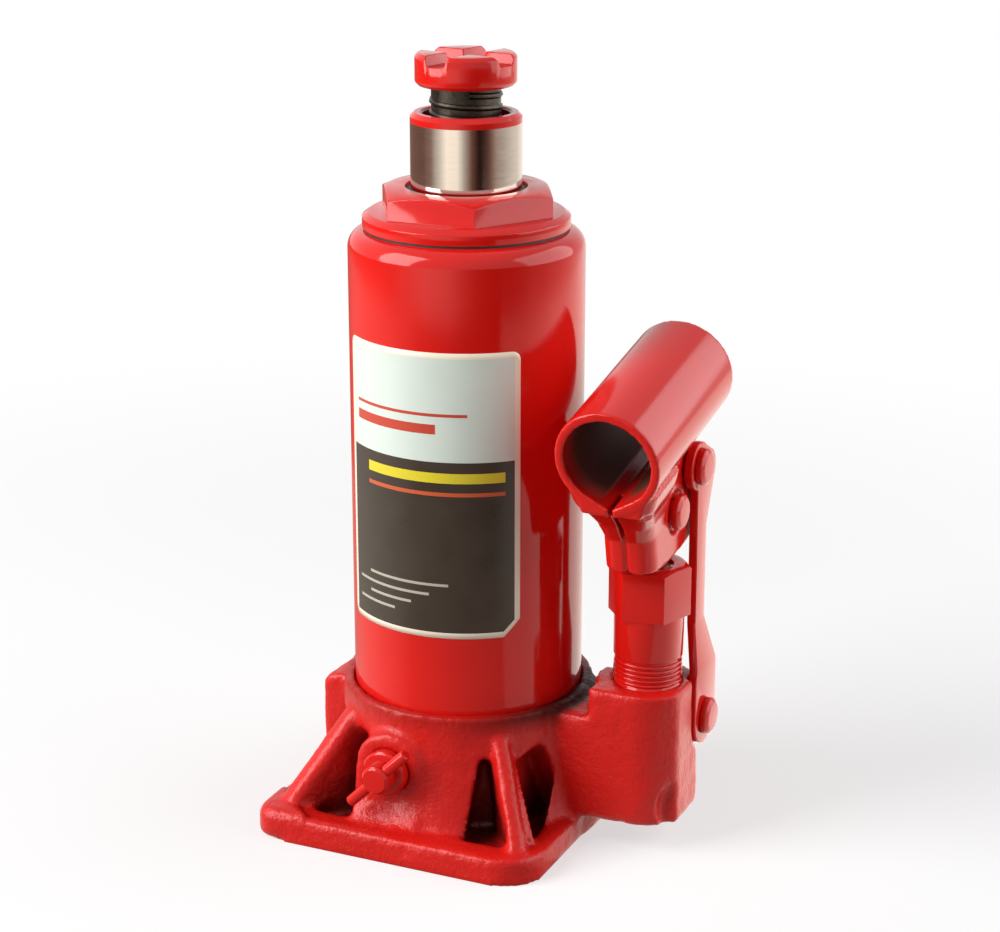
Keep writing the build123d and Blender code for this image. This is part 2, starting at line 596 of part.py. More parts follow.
def socket_neck():
    """Hollow curve from the mouth of the tube down into the front wall."""
    run = WALL_FRONT - SOCKET_FRONT - 0.3
    top = SOCKET_RISE - SOCKET_APEX + 0.4
    start = (WALL_FRONT - run, top)
    end = (WALL_FRONT, top - run)
    middle = (WALL_FRONT - run + run * math.sqrt(0.5), top - run + run * math.sqrt(0.5))
    outline = ThreePointArc(start, middle, end)
    outline += Polyline(end, (WALL_FRONT + 3, top - run), (WALL_FRONT + 3, SOCKET_RISE),
                        (WALL_FRONT - run, SOCKET_RISE), start)
    side = along_x(make_face(outline), -SOCKET_RADIUS, SOCKET_RADIUS)
    flare = ThreePointArc((-CHEEK_OUTER, top - run), (-CHEEK_OUTER - 1.1, top + 1),
                          (-SOCKET_RADIUS + 1.6, SOCKET_RISE - 6))
    flare += Polyline((-SOCKET_RADIUS + 1.6, SOCKET_RISE - 6), (SOCKET_RADIUS - 1.6, SOCKET_RISE - 6))
    flare += ThreePointArc((SOCKET_RADIUS - 1.6, SOCKET_RISE - 6), (CHEEK_OUTER + 1.1, top + 1),
                           (CHEEK_OUTER, top - run))
    flare += Polyline((CHEEK_OUTER, top - run), (-CHEEK_OUTER, top - run))
    return side & along_y(make_face(flare), SOCKET_FRONT, 8)


def handle_socket():
    section = Pos(0, SOCKET_RISE) * teardrop(SOCKET_RADIUS, SOCKET_APEX)
    hollow = Pos(0, SOCKET_RISE) * teardrop(SOCKET_BORE, SOCKET_APEX - 2.3)
    tube = along_y(section, SOCKET_FRONT, SOCKET_REAR)
    body = tube + socket_legs() + socket_neck()
    body -= along_y(hollow, SOCKET_FRONT - 5, SOCKET_REAR + 5)
    ceiling = SOCKET_RISE - SOCKET_APEX - 0.4
    body -= block(-CHEEK_INNER, CHEEK_INNER, WALL_FRONT + 2.3, 30, -30, ceiling)
    seam = block(-0.3, 0.3, WALL_FRONT - 0.1, WALL_FRONT + 0.7, -30, ceiling - 6)
    notch = rod_y(1.3, WALL_FRONT - 1, WALL_FRONT + 4, 0, -9.6)
    slit = block(-20, 20, 0, 7.5, ceiling + 1.4, ceiling + 2.6)
    slit -= block(-CHEEK_INNER, CHEEK_INNER, -5, 20, 0, 30)
    body = body - seam - notch - slit
    body = SOCKET_PLACE * body
    body -= rod_x(PIN_RADIUS + 0.06, PUMP_X - 9, PUMP_X + 9, 0, PIVOT_Z)
    return body - rod_x(PIN_RADIUS, PUMP_X - 9, PUMP_X + 9, LINK_TOP_Y, PIVOT_Z + LINK_TOP_Z)


# ---- links ------------------------------------------------------------------
def link_outline():
    """Side view of a link in Y and Z."""
    top_y, top_z = LINK_TOP_Y, PIVOT_Z + LINK_TOP_Z
    foot_y, foot_z = LINK_FOOT_Y, LINK_FOOT_Z
    radius = LINK_FOOT_RADIUS
    waist = LINK_WAIST
    outline = Pos(foot_y, foot_z) * Circle(radius)
    outline += face_of([(foot_y - radius, foot_z), (foot_y + radius, foot_z),
                        (foot_y + radius, foot_z + 13), (waist[1], foot_z + 27),
                        (waist[0], foot_z + 27), (foot_y - radius, foot_z + 12)])
    outline += face_of([(waist[0], foot_z + 25), (waist[1], foot_z + 25), (waist[1], top_z - 17),
                        (top_y + 10.5, top_z - 5), (top_y, top_z), (waist[0], top_z - 4)])
    outline += Pos(top_y, top_z) * Circle(6.3)
    outline += Pos(top_y + 6.2, top_z - 2.2) * Circle(5.2)
    outline += face_of([(top_y + 2.1, top_z + 5.9), (top_y, top_z), (top_y + 6.2, top_z - 2.2),
                        (top_y + 7.9, top_z + 2.7)])
    outline -= Pos(foot_y, foot_z) * Circle(PIN_RADIUS + 0.08)
    return outline - Pos(top_y, top_z) * Circle(PIN_RADIUS + 0.75)


def link(side):
    """One stepped link; side is 1 for the outer one and -1 for the one near the tube."""
    high = LINK_IN_HIGH
    low = LINK_IN_LOW
    knee_low = BOSS_TOP + 1.5
    knee_high = knee_low + 12
    peak = PIVOT_Z + LINK_TOP_Z + 20
    strip = face_of([(high, peak), (high + LINK_SHEET, peak), (high + LINK_SHEET, knee_high),
                     (low + LINK_SHEET, knee_low), (low + LINK_SHEET, 10), (low, 10),
                     (low, knee_low), (high, knee_high)])
    plate = along_x(link_outline(), 0, 20) & along_y(strip, -5, 40)
    if side < 0:
        plate = mirror(plate, about=Plane.YZ)
    return Pos(PUMP_X, 0, 0) * plate


# ---- valves -----------------------------------------------------------------
def release_valve():
    face = -VALVE_FACE
    thread = VALVE_BORE - 0.05
    shape = turned([(0, face - 7.5), (2, face - 7.5), (2, face - 6.8), (thread, face - 6),
                    (thread, face - 3), (4, face - 3), (4, face - 1.5), (thread, face - 1.5),
                    (thread, face + 0.3), (6, face + 0.3), (6, face + 2.4), (5.4, face + 3),
                    (3.8, face + 3), (3.8, face + 7.2), (3.1, face + 7.9), (0, face + 7.9)])
    return toward_front(shape, VALVE_X, VALVE_Z) - release_tee_bar()


def release_valve_seal():
    face = -VALVE_FACE
    return toward_front(ring(VALVE_BORE - 0.02, 4, face - 3, face - 1.5), VALVE_X, VALVE_Z)


def release_tee_bar():
    bar = Pos(0, 0, -11.5) * Cylinder(1.5, 23, align=UP)
    bar = chamfer(bar.edges(), 0.4)
    return Pos(VALVE_X, VALVE_FACE - 5.5, VALVE_Z) * Rot(0, 45, 0) * bar


def release_ball():
    return Pos(VALVE_X, VALVE_FACE + 10, VALVE_Z) * Sphere(2.5)


def overload_ball():
    reach = OVERLOAD_SEAT + math.sqrt(OVERLOAD_BALL ** 2 - 1.44)
    return Pos(-reach, 0, OVERLOAD_Z) * Sphere(OVERLOAD_BALL)


def overload_spring():
    start = OVERLOAD_SEAT + 2 * OVERLOAD_BALL - 0.4
    return Pos(-start, 0, OVERLOAD_Z) * Rot(0, -90, 0) * coil(1.7, 0.4, OVERLOAD_STOP - start, 5)


def overload_screw():
    body = rod_x(3.95, -EAR_LEFT + 0.4, -OVERLOAD_STOP, 0, OVERLOAD_Z)
    return body - block(-EAR_LEFT - 1, -EAR_LEFT + 1.8, -5, 5, OVERLOAD_Z - 0.6, OVERLOAD_Z + 0.6)


def suction_ball():
    rise = math.sqrt(SUCTION_BALL ** 2 - 1.6 ** 2)
    return Pos(PUMP_X, 0, SUCTION_SEAT + rise) * Sphere(SUCTION_BALL)


def delivery_ball():
    reach = math.sqrt(DELIVERY_BALL ** 2 - DUCT ** 2)
    return Pos(DELIVERY_SEAT - reach, 0, DELIVERY_Z) * Sphere(DELIVERY_BALL)


def delivery_spring():
    length = DELIVERY_SEAT - DELIVERY_END - 2 * DELIVERY_BALL - 0.4
    return Pos(DELIVERY_END, 0, DELIVERY_Z) * Rot(0, 90, 0) * coil(1.9, 0.35, length, 2)


PARTS = {
    "base_casting": base_casting,
    "reservoir_tube": reservoir_tube,
    "filler_plug": filler_plug,
    "pressure_cylinder": pressure_cylinder,
    "cylinder_gasket": lambda: ring(CYLINDER_RADIUS, CYLINDER_BORE + 0.3, CYLINDER_SEAT,
                                    CYLINDER_SEAT + GASKET),
    "reservoir_seal_bottom": lambda: ring(TUBE_RADIUS - 0.1, TUBE_RADIUS - 3, SEAL_SEAT,
                                          SEAL_SEAT + BOTTOM_SEAL),
    "reservoir_seal_top": lambda: ring(NUT_FLANGE_RADIUS - 0.35, TUBE_OPENING, TUBE_TOP,
                                       TUBE_TOP + TOP_SEAL),
    "top_nut": top_nut,
    "gland_seal": gland_seal,
    "wiper_ring": wiper_ring,
    "ram": ram,
    "ram_end_ring": ram_end_ring,
    "ram_seal_cup": ram_seal_cup,
    "ram_guide_ring": ram_guide_ring,
    "seal_retainer": seal_retainer,
    "screw_stop_ring": screw_stop_ring,
    "extension_screw": extension_screw,
    "saddle": saddle,
    "pump_body": pump_body,
    "pump_washer": pump_washer,
    "pump_gland_seal": pump_gland_seal,
    "pump_plunger": pump_plunger,
    "plunger_pin": plunger_pin,
    "handle_socket": handle_socket,
    "socket_link_pin": socket_link_pin,
    "link_right": lambda: link(1),
    "link_left": lambda: link(-1),
    "link_pivot_pin": link_pivot_pin,
    "release_valve": release_valve,
    "release_tee_bar": release_tee_bar,
    "release_valve_seal": release_valve_seal,
    "release_ball": release_ball,
    "overload_ball": overload_ball,
    "overload_spring": overload_spring,
    "overload_screw": overload_screw,
    "suction_ball": suction_ball,
    "delivery_ball": delivery_ball,
    "delivery_spring": delivery_spring,
}

os.makedirs("parts", exist_ok=True)
for name, make in PARTS.items():
    export_step(make(), "parts/" + name + ".step")
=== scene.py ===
# %% [markdown]
# # A red hydraulic bottle jack
# The jack stands on a square cast foot. A drawn steel tube holds the oil, a ground
# ram rises through a hexagon nut, and a small pump beside it is worked by a folded
# sheet socket. The solids arrive finished in size, so every cell below only gives
# them the surface that the foundry, the press shop and the paint line leave.

# %% Load the jack and measure it
import contextlib
import json
import math

import bmesh
import bpy
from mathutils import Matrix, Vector

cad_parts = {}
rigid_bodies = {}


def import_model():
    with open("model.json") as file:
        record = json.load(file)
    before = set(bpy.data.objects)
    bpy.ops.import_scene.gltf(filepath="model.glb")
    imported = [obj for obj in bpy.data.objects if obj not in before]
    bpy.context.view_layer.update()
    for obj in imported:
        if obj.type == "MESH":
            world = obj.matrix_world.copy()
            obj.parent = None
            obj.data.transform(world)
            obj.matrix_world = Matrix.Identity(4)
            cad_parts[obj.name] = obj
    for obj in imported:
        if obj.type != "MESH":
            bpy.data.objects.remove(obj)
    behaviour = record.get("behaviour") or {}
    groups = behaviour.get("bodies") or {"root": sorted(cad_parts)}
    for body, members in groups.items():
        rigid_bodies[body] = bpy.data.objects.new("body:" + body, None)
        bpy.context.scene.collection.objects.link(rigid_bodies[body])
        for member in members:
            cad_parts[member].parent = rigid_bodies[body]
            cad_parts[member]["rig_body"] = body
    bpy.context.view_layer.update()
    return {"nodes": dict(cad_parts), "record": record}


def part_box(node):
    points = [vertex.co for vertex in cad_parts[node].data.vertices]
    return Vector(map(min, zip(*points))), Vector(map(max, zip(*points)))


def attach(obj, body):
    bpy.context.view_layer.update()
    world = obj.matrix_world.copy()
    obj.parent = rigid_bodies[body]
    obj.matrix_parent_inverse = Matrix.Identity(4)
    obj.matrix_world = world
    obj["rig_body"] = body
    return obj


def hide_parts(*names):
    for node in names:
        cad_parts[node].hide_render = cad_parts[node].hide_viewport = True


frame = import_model()
nodes = frame["nodes"]
MM = 0.001


# %% [markdown]
# Positions are read from the solids, so a change of size in the model moves the
# looks with it. The ram axis is the world's Z axis, and the pump has its own axis.

# %% Main places
def low(node):
    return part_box(node)[0]


def high(node):
    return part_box(node)[1]


def middle(node):
    return (low(node) + high(node)) / 2


TUBE_RADIUS = high("reservoir_tube").x
TUBE_LOW = low("reservoir_tube").z
TUBE_TOP = high("reservoir_tube").z
PUMP_AXIS = middle("pump_plunger").x
PIVOT = middle("plunger_pin")
print("tube radius", round(TUBE_RADIUS / MM, 2), "top", round(TUBE_TOP / MM, 1))
print("pump axis", round(PUMP_AXIS / MM, 2), "pivot", [round(v / MM, 2) for v in PIVOT])

# %% [markdown]
# Colours are written as the sRGB values seen on the object. Blender's shaders work
# in linear light, so one function turns a hex value into what a socket expects.
# A second small function adds a node, sets it and links it, in a shader or a
# geometry tree alike. Nearly every finish here has one noise field that runs its
# colour and its gloss together, and a height field for its bump.

# %% Helpers for colours and nodes
def hex_colour(text):
    values = []
    for start in (0, 2, 4):
        value = int(text[start:start + 2], 16) / 255
        values.append(value / 12.92 if value <= 0.04045 else ((value + 0.055) / 1.055) ** 2.4)
    return (*values, 1.0)


def add_node(tree, kind, inputs=None, **settings):
    """Add one node; an input that is a socket is linked, anything else is set."""
    node = tree.nodes.new(kind)
    for name, value in settings.items():
        setattr(node, name, value)
    for name, value in (inputs or {}).items():
        if isinstance(value, bpy.types.NodeSocket):
            tree.links.new(value, node.inputs[name])
        else:
            node.inputs[name].default_value = value
    return node


def both(tree, first, second):
    """Product of two values."""
    return add_node(tree, "ShaderNodeMath", {0: first, 1: second},
                    operation="MULTIPLY").outputs[0]


def new_material(name):
    """Empty node material with its output and a Principled shader."""
    material = bpy.data.materials.new(name)
    material.use_nodes = True
    tree = material.node_tree
    tree.nodes.clear()
    output = add_node(tree, "ShaderNodeOutputMaterial")
    shader = add_node(tree, "ShaderNodeBsdfPrincipled")
    tree.links.new(shader.outputs["BSDF"], output.inputs["Surface"])
    place = add_node(tree, "ShaderNodeTexCoord").outputs["Object"]
    return material, tree, shader, place


def run_input(tree, shader, name, field, start, end):
    """Let a field between nought and one run one input of the shader."""
    level = add_node(tree, "ShaderNodeMapRange", {"Value": field, "To Min": start,
                                                  "To Max": end})
    tree.links.new(level.outputs["Result"], shader.inputs[name])


def lay_over(tree, shader, share, ink):
    """Lay a hex colour over the base colour that the shader has already."""
    base = shader.inputs["Base Color"]
    under = base.links[0].from_socket if base.links else base.default_value[:]
    tint = add_node(tree, "ShaderNodeMix", {"Factor": share, 6: under, 7: hex_colour(ink)},
                    data_type="RGBA")
    tree.links.new(tint.outputs[2], base)


def vary(tree, shader, field, colours, roughness):
    """Let a field between nought and one run the colour and the roughness."""
    shader.inputs["Base Color"].default_value = hex_colour(colours[0])
    lay_over(tree, shader, field, colours[1])
    run_input(tree, shader, "Roughness", field, *roughness)


def relief(tree, shader, height, strength, depth_mm):
    """Bump by a height field, on top of the bump that the shader has already."""
    bump = add_node(tree, "ShaderNodeBump", {"Height": height, "Strength": strength,
                                             "Distance": depth_mm * MM})
    normal = shader.inputs["Normal"]
    if normal.links:
        tree.links.new(normal.links[0].from_socket, bump.inputs["Normal"])
    tree.links.new(bump.outputs["Normal"], normal)


# %% [markdown]
# ## Red enamel on smooth steel
# The tube, nut, links and socket are dipped or sprayed with a gloss alkyd enamel.
# It is a dielectric with an IOR near 1.5 over a strong red pigment. Sprayed enamel
# dries with a faint orange peel, a few millimetres across and only hundredths deep,
# and its red deepens a little where the film is thick.

# %% Gloss red enamel
ENAMEL_RED, ENAMEL_DEEP = "e01d16", "cc1510"
# Dark colour laid into closed-in corners and seams: grime and painted shade.
GRIME_AND_SHADE = "2a0906"
ENAMEL_IOR, ENAMEL_SPECULAR = 1.5, 0.32
CLOUD_MM = 22
OPEN_FROM, OPEN_TO = 0.2, 0.72


def corner_grime_and_shade(tree, shader, reach_mm, corner_darkening):
    """Darken the colour where the surface is closed in, where oil and dust gather and shade falls:
    grime and painted shade.
    """
    closed = add_node(tree, "ShaderNodeAmbientOcclusion", {"Distance": reach_mm * MM}, samples=6,
                      only_local=True)
    share = add_node(tree, "ShaderNodeMapRange", {"Value": closed.outputs["AO"],
                                                  "From Min": OPEN_FROM, "From Max": OPEN_TO,
                                                  "To Min": corner_darkening, "To Max": 0.0})
    lay_over(tree, shader, share.outputs["Result"], GRIME_AND_SHADE)


def enamel(name, peel_mm, peel_depth_mm, roughness, corner_mm, bright=ENAMEL_RED,
           deep=ENAMEL_DEEP, corner_darkening=0.55):
    """Red enamel with clouds in its red, an orange peel, and grime and painted shade in its
    corners.
    """
    material, tree, shader, place = new_material(name)
    cloud = add_node(tree, "ShaderNodeTexNoise", {"Vector": place, "Scale": 1 / (CLOUD_MM * MM),
                                                  "Detail": 3.0})
    vary(tree, shader, cloud.outputs["Fac"], (deep, bright),
         (roughness - 0.03, roughness + 0.04))
    # Corners darkened by how closed in they are: grime and painted shade.
    corner_grime_and_shade(tree, shader, corner_mm, corner_darkening)
    peel = add_node(tree, "ShaderNodeTexNoise", {"Vector": place, "Scale": 1 / (peel_mm * MM),
                                                 "Detail": 2.0})
    relief(tree, shader, peel.outputs["Fac"], 1.0, peel_depth_mm)
    shader.inputs["IOR"].default_value = ENAMEL_IOR
    shader.inputs["Specular IOR Level"].default_value = ENAMEL_SPECULAR
    return material, tree, shader, place


smooth_enamel = enamel("gloss_red_enamel", 3.0, 0.006, 0.1, 2.5)[0]
print("enamel", smooth_enamel.name, "red", ENAMEL_RED)

# %% [markdown]
# ## Red enamel on sand-cast iron
# The foot is poured in a sand mould, so grains of half a millimetre and soft lumps
# of several millimetres stay in its skin. The enamel lies over them, pools in the
# corners and keeps its gloss. The lumps are real geometry further down, and the
# grain, drawn a little coarse so that it shows, is a bump. Oil creeps out of the
# seam round the tube, and it is darkest beside the pump.

# %% Cast enamel
OIL = "26120c"
OILY_SPECULAR = 0.05
GRAIN_MM, GRAIN_DEPTH_MM = 1.0, 0.2


def oily_seam(tree, shader, place):
    """Dark oil in the seam round the tube, most of it on the side of the pump."""
    flat = add_node(tree, "ShaderNodeVectorMath", {0: place, 1: (1, 1, 0)}, operation="MULTIPLY")
    reach = add_node(tree, "ShaderNodeVectorMath", {0: flat.outputs[0]}, operation="LENGTH")
    parts = add_node(tree, "ShaderNodeSeparateXYZ", {"Vector": place})
    share = 1.0
    # Each row: a measure, where it is clean and where it is oily in mm, least and most oil.
    for measure, clean, oily, least, most in (
            (reach.outputs["Value"], 36.4, 34.4, 0.0, 1.0),
            (parts.outputs["Z"], 31, 35.5, 0.0, 1.0),
            (parts.outputs["X"], 12, 30, 0.3, 0.92)):
        ramp = add_node(tree, "ShaderNodeMapRange", {
            "Value": measure, "From Min": clean * MM, "From Max": oily * MM,
            "To Min": least, "To Max": most})
        share = both(tree, share, ramp.outputs["Result"])
    lay_over(tree, shader, share, OIL)
    run_input(tree, shader, "Specular IOR Level", share, ENAMEL_SPECULAR, OILY_SPECULAR)


def cast_enamel():
    # Pockets of the casting darkened strongly over 13 mm: grime and painted shade.
    material, tree, shader, place = enamel("red_enamel_on_sand_cast_iron", 1.6, 0.16, 0.31, 13,
                                           "dd1e17", "be130e", 0.95)
    grain = add_node(tree, "ShaderNodeTexNoise", {"Vector": place, "Scale": 1 / (GRAIN_MM * MM),
                                                  "Detail": 3.0, "Roughness": 0.6})
    relief(tree, shader, grain.outputs["Fac"], 0.9, GRAIN_DEPTH_MM)
    oily_seam(tree, shader, place)
    return material


rough_enamel = cast_enamel()
print("cast enamel", rough_enamel.name)

# %% [markdown]
# ## Bare metals
# The ram is ground round and polished, so its marks run round it and are far finer
# than a tenth of a millimetre; they are drawn coarser here so that they show. The
# screw is turned steel with a black oxide finish. Balls are polished, springs and
# rings are plain drawn or stamped steel, and the washers are soft copper.

# %% Metals
def metal(name, light, dark, roughness, grain_mm, depth_mm, stretch=(1.0, 1.0, 1.0)):
    """Bare metal whose marks are drawn out along the axes with a small stretch."""
    material, tree, shader, place = new_material(name)
    turned = add_node(tree, "ShaderNodeMapping", {"Vector": place, "Scale": stretch})
    marks = add_node(tree, "ShaderNodeTexNoise", {"Vector": turned.outputs["Vector"],
                                                  "Scale": 1 / (grain_mm * MM), "Detail": 3.0})
    vary(tree, shader, marks.outputs["Fac"], (dark, light), (roughness - 0.04, roughness + 0.05))
    relief(tree, shader, marks.outputs["Fac"], 0.6, depth_mm)
    shader.inputs["Metallic"].default_value = 1.0
    return material


ROUND_MARKS = (0.08, 0.08, 1.0)
ground_steel = metal("ground_and_polished_steel", "cfc5bb", "c2b7ad", 0.09, 0.4, 0.0004,
                     ROUND_MARKS)
turned_steel = metal("turned_oiled_steel", "9a989a", "77757a", 0.34, 0.6, 0.01, ROUND_MARKS)
black_oxide = metal("black_oxide_steel", "4a443c", "211d19", 0.34, 0.9, 0.02)
ball_steel = metal("polished_ball_steel", "d8d8da", "c4c4c8", 0.1, 1.0, 0.002)
stamped_steel = metal("stamped_steel", "8a888a", "6b696c", 0.36, 0.5, 0.01)
copper = metal("soft_copper", "c07a4e", "96552f", 0.4, 0.8, 0.01)
print("metals", [m.name for m in (ground_steel, turned_steel, black_oxide, ball_steel)])

# %% [markdown]
# ## Rubber and seal plastic
# Nitrile rubber is a dull dielectric with a slight bloom of wax on its surface.
# The seals are cast polyurethane, a little glossier and blue-black.

# %% Rubber and plastic
BLOOM_MM, BLOOM_DEPTH_MM = 3, 0.02
RUBBER_IOR = 1.52


def polymer(name, light, dark, roughness):
    material, tree, shader, place = new_material(name)
    bloom = add_node(tree, "ShaderNodeTexNoise", {"Vector": place, "Scale": 1 / (BLOOM_MM * MM),
                                                  "Detail": 4.0})
    vary(tree, shader, bloom.outputs["Fac"], (dark, light), (roughness - 0.08, roughness + 0.08))
    relief(tree, shader, bloom.outputs["Fac"], 0.5, BLOOM_DEPTH_MM)
    shader.inputs["IOR"].default_value = RUBBER_IOR
    return material


black_rubber = polymer("nitrile_rubber", "262525", "141313", 0.62)
seal_plastic = polymer("cast_polyurethane", "26313c", "172029", 0.42)
print("polymers", black_rubber.name, seal_plastic.name)

# %% [markdown]
# ## Give every solid its finish
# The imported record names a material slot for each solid. One table turns those
# slots into the finishes above, so no solid is left plain.

# %% Finish the solids
FINISHES = {
    "red_cast_paint": rough_enamel,
    "red_tube_paint": smooth_enamel,
    "ground_steel": ground_steel,
    "machined_steel": turned_steel,
    "dark_screw_steel": black_oxide,
    "bearing_steel": ball_steel,
    "spring_steel": stamped_steel,
    "copper": copper,
    "black_rubber": black_rubber,
    "seal_plastic": seal_plastic,
}
SLOT_OF = {row["node"]: row["material_slot"] for row in frame["record"]["subparts"]}


for name, node in nodes.items():
    node.data.materials.clear()
    node.data.materials.append(FINISHES[SLOT_OF[name]])
print("finished solids", len(nodes))

# %% [markdown]
# ## Pieces drawn again from their solids
# A imported solid has knife-sharp edges, which no cast, pressed or sprayed piece has.
# A copy of the solid can be remeshed into even small quads and smoothed, which
# melts every edge by the size of a quad, or it can be bevelled edge by edge. The
# first suits the lumpy casting and the folded socket, the second the turned and
# machined pieces. The copy takes the solid's body and slot, and the solid is hidden.

# %% Helpers for copies
WELD = 0.002 * MM
WANTED = {}     # body and slot of each new piece, by its name


@contextlib.contextmanager
def edited(mesh):
    """Mesh opened for editing, written back when the block ends."""
    work = bmesh.new()
    work.from_mesh(mesh)
    yield work
    work.to_mesh(mesh)
    work.free()


def new_object(name, data):
    thing = bpy.data.objects.new(name, data)
    bpy.context.scene.collection.objects.link(thing)
    return thing


def link_piece(name, mesh, body, slot):
    """Object for a new mesh, whose body and slot are kept until it is declared."""
    piece = new_object(name, mesh)
    mesh.materials.clear()
    mesh.materials.append(FINISHES[slot])
    WANTED[piece.name] = (body, slot)
    return piece


def settle(piece):
    """Turn modifiers into a plain mesh."""
    depsgraph = bpy.context.evaluated_depsgraph_get()
    mesh = bpy.data.meshes.new_from_object(piece.evaluated_get(depsgraph))
    piece.modifiers.clear()
    old = piece.data
    piece.data = mesh
    bpy.data.meshes.remove(old)
    mesh.name = piece.name


def declare(piece, *replaced):
    """Attach a finished piece to its body and hide the solids it stands for."""
    body, slot = WANTED[piece.name]
    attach(piece, body)
    if replaced:
        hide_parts(*replaced)
    triangles = sum(len(face.vertices) - 2 for face in piece.data.polygons)
    print("piece", piece.name, "triangles", triangles)


def merged_copy(node, name):
    """Copy of a solid with its loose triangles joined."""
    mesh = nodes[node].data.copy()
    mesh.name = name
    with edited(mesh) as work:
        bmesh.ops.remove_doubles(work, verts=work.verts, dist=WELD)
    return link_piece(name, mesh, nodes[node]["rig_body"], SLOT_OF[node])


# %% Helpers for filling and cutting
def hull_mesh(points):
    """Closed mesh round a set of points, all in metres."""
    mesh = bpy.data.meshes.new("hull")
    with edited(mesh) as work:
        for point in points:
            work.verts.new(point)
        made = bmesh.ops.convex_hull(work, input=work.verts)
        loose = {item for item in made["geom_interior"] + made["geom_unused"]
                 if isinstance(item, bmesh.types.BMVert)}
        bmesh.ops.delete(work, geom=list(loose), context="VERTS")
        bmesh.ops.recalc_face_normals(work, faces=work.faces)
    return mesh


def add_mesh(piece, extra):
    """Put another closed mesh into a piece, to be merged by the next remesh."""
    with edited(piece.data) as work:
        work.from_mesh(extra)
    bpy.data.meshes.remove(extra)


def cut_away(piece, extra):
    """Take a closed mesh away from a piece."""
    tool = new_object("tool", extra)
    cut = piece.modifiers.new("cut", "BOOLEAN")
    cut.operation = "DIFFERENCE"
    cut.solver = "MANIFOLD"
    cut.object = tool
    settle(piece)
    bpy.data.objects.remove(tool)
    bpy.data.meshes.remove(extra)


def even_quads(piece, voxel_mm, rounds):
    """Merge what overlaps into one skin of even quads and soften its edges."""
    remesh = piece.modifiers.new("even_quads", "REMESH")
    remesh.mode = "VOXEL"
    remesh.voxel_size = voxel_mm * MM
    remesh.use_smooth_shade = True
    if rounds:
        relax = piece.modifiers.new("relax", "SMOOTH")
        relax.factor = 0.5
        relax.iterations = rounds
    settle(piece)


# %% Helper that bevels edges
FLAT_ANGLE, BEVEL_ANGLE, SHARP_ANGLE = math.radians(0.6), math.radians(32), math.radians(40)


def bevelled(node, name, width_mm):
    """Copy of a solid with its flat faces made whole and its edges broken."""
    piece = merged_copy(node, name)
    with edited(piece.data) as work:
        bmesh.ops.dissolve_limit(work, angle_limit=FLAT_ANGLE, verts=work.verts,
                                 edges=work.edges)
    bevel = piece.modifiers.new("soft_edges", "BEVEL")
    bevel.width = width_mm * MM
    bevel.segments = 3
    bevel.limit_method = "ANGLE"
    bevel.angle_limit = BEVEL_ANGLE
    settle(piece)
    piece.data.shade_smooth()
    piece.data.set_sharp_from_angle(angle=SHARP_ANGLE)
    return piece

# %% [markdown]
# ## The casting
# The foot, ribs, collar and pump boss are one iron casting. After the edges are
# melted, a geometry tree pushes the skin in and out by up to a few tenths of a
# millimetre along its normals: broad lumps from the sand mould and smaller ones
# where the enamel has pooled. The flat underside stays flat because the push fades out
# near the floor.

# %% Geometry tree that makes a skin lumpy
TOUCHES_FLOOR = 0.3 * MM


def geometry_tree(name, inputs):
    """Geometry tree with its inputs and its one output, and the sockets it starts from."""
    tree = bpy.data.node_groups.new(name, "GeometryNodeTree")
    face = tree.interface
    for label, kind in inputs:
        face.new_socket(label, in_out="INPUT", socket_type="NodeSocket" + kind)
    face.new_socket("Geometry", in_out="OUTPUT", socket_type="NodeSocketGeometry")
    return tree, add_node(tree, "NodeGroupInput").outputs


def lumpy_tree():
    tree, start = geometry_tree("lumpy_skin", (
        ("Geometry", "Geometry"), ("Lump size", "Float"), ("Lump height", "Float"),
        ("Still below", "Float")))
    place = add_node(tree, "GeometryNodeInputPosition").outputs["Position"]
    rate = add_node(tree, "ShaderNodeMath", {0: 1.0, 1: start["Lump size"]},
                    operation="DIVIDE")
    noise = add_node(tree, "ShaderNodeTexNoise", {"Vector": place, "Scale": rate.outputs[0],
                                                  "Detail": 2.5, "Roughness": 0.6})
    centred = add_node(tree, "ShaderNodeMath", {0: noise.outputs["Fac"], 1: 0.5},
                       operation="SUBTRACT")
    height = both(tree, centred.outputs[0], start["Lump height"])
    upright = add_node(tree, "ShaderNodeSeparateXYZ", {"Vector": place}).outputs["Z"]
    fade = add_node(tree, "ShaderNodeMapRange", {"Value": upright, "From Min": TOUCHES_FLOOR,
                                                 "From Max": start["Still below"]})
    faded = both(tree, height, fade.outputs["Result"])
    normal = add_node(tree, "GeometryNodeInputNormal").outputs["Normal"]
    push = add_node(tree, "ShaderNodeVectorMath", {0: normal, "Scale": faded},
                    operation="SCALE")
    moved = add_node(tree, "GeometryNodeSetPosition", {"Geometry": start["Geometry"],
                                                       "Offset": push.outputs[0]})
    end = add_node(tree, "NodeGroupOutput")
    tree.links.new(moved.outputs["Geometry"], end.inputs["Geometry"])
    return tree


def set_inputs(modifier, values):
    """Set a geometry tree's inputs by their identifiers."""
    for item in modifier.node_group.interface.items_tree:
        if item.in_out == "INPUT" and item.name in values:
            modifier[item.identifier] = values[item.name]


# %% [markdown]
# On the pump side a thin rib stands alone between two hollows, and both hollows
# narrow upwards, because the pattern has to draw out of the sand. The solid's wider
# hollows are filled with a sector of the core and cut again with that taper, front
# and rear alike, and the rib is set between them. The rim's left corners are nearly
# square.

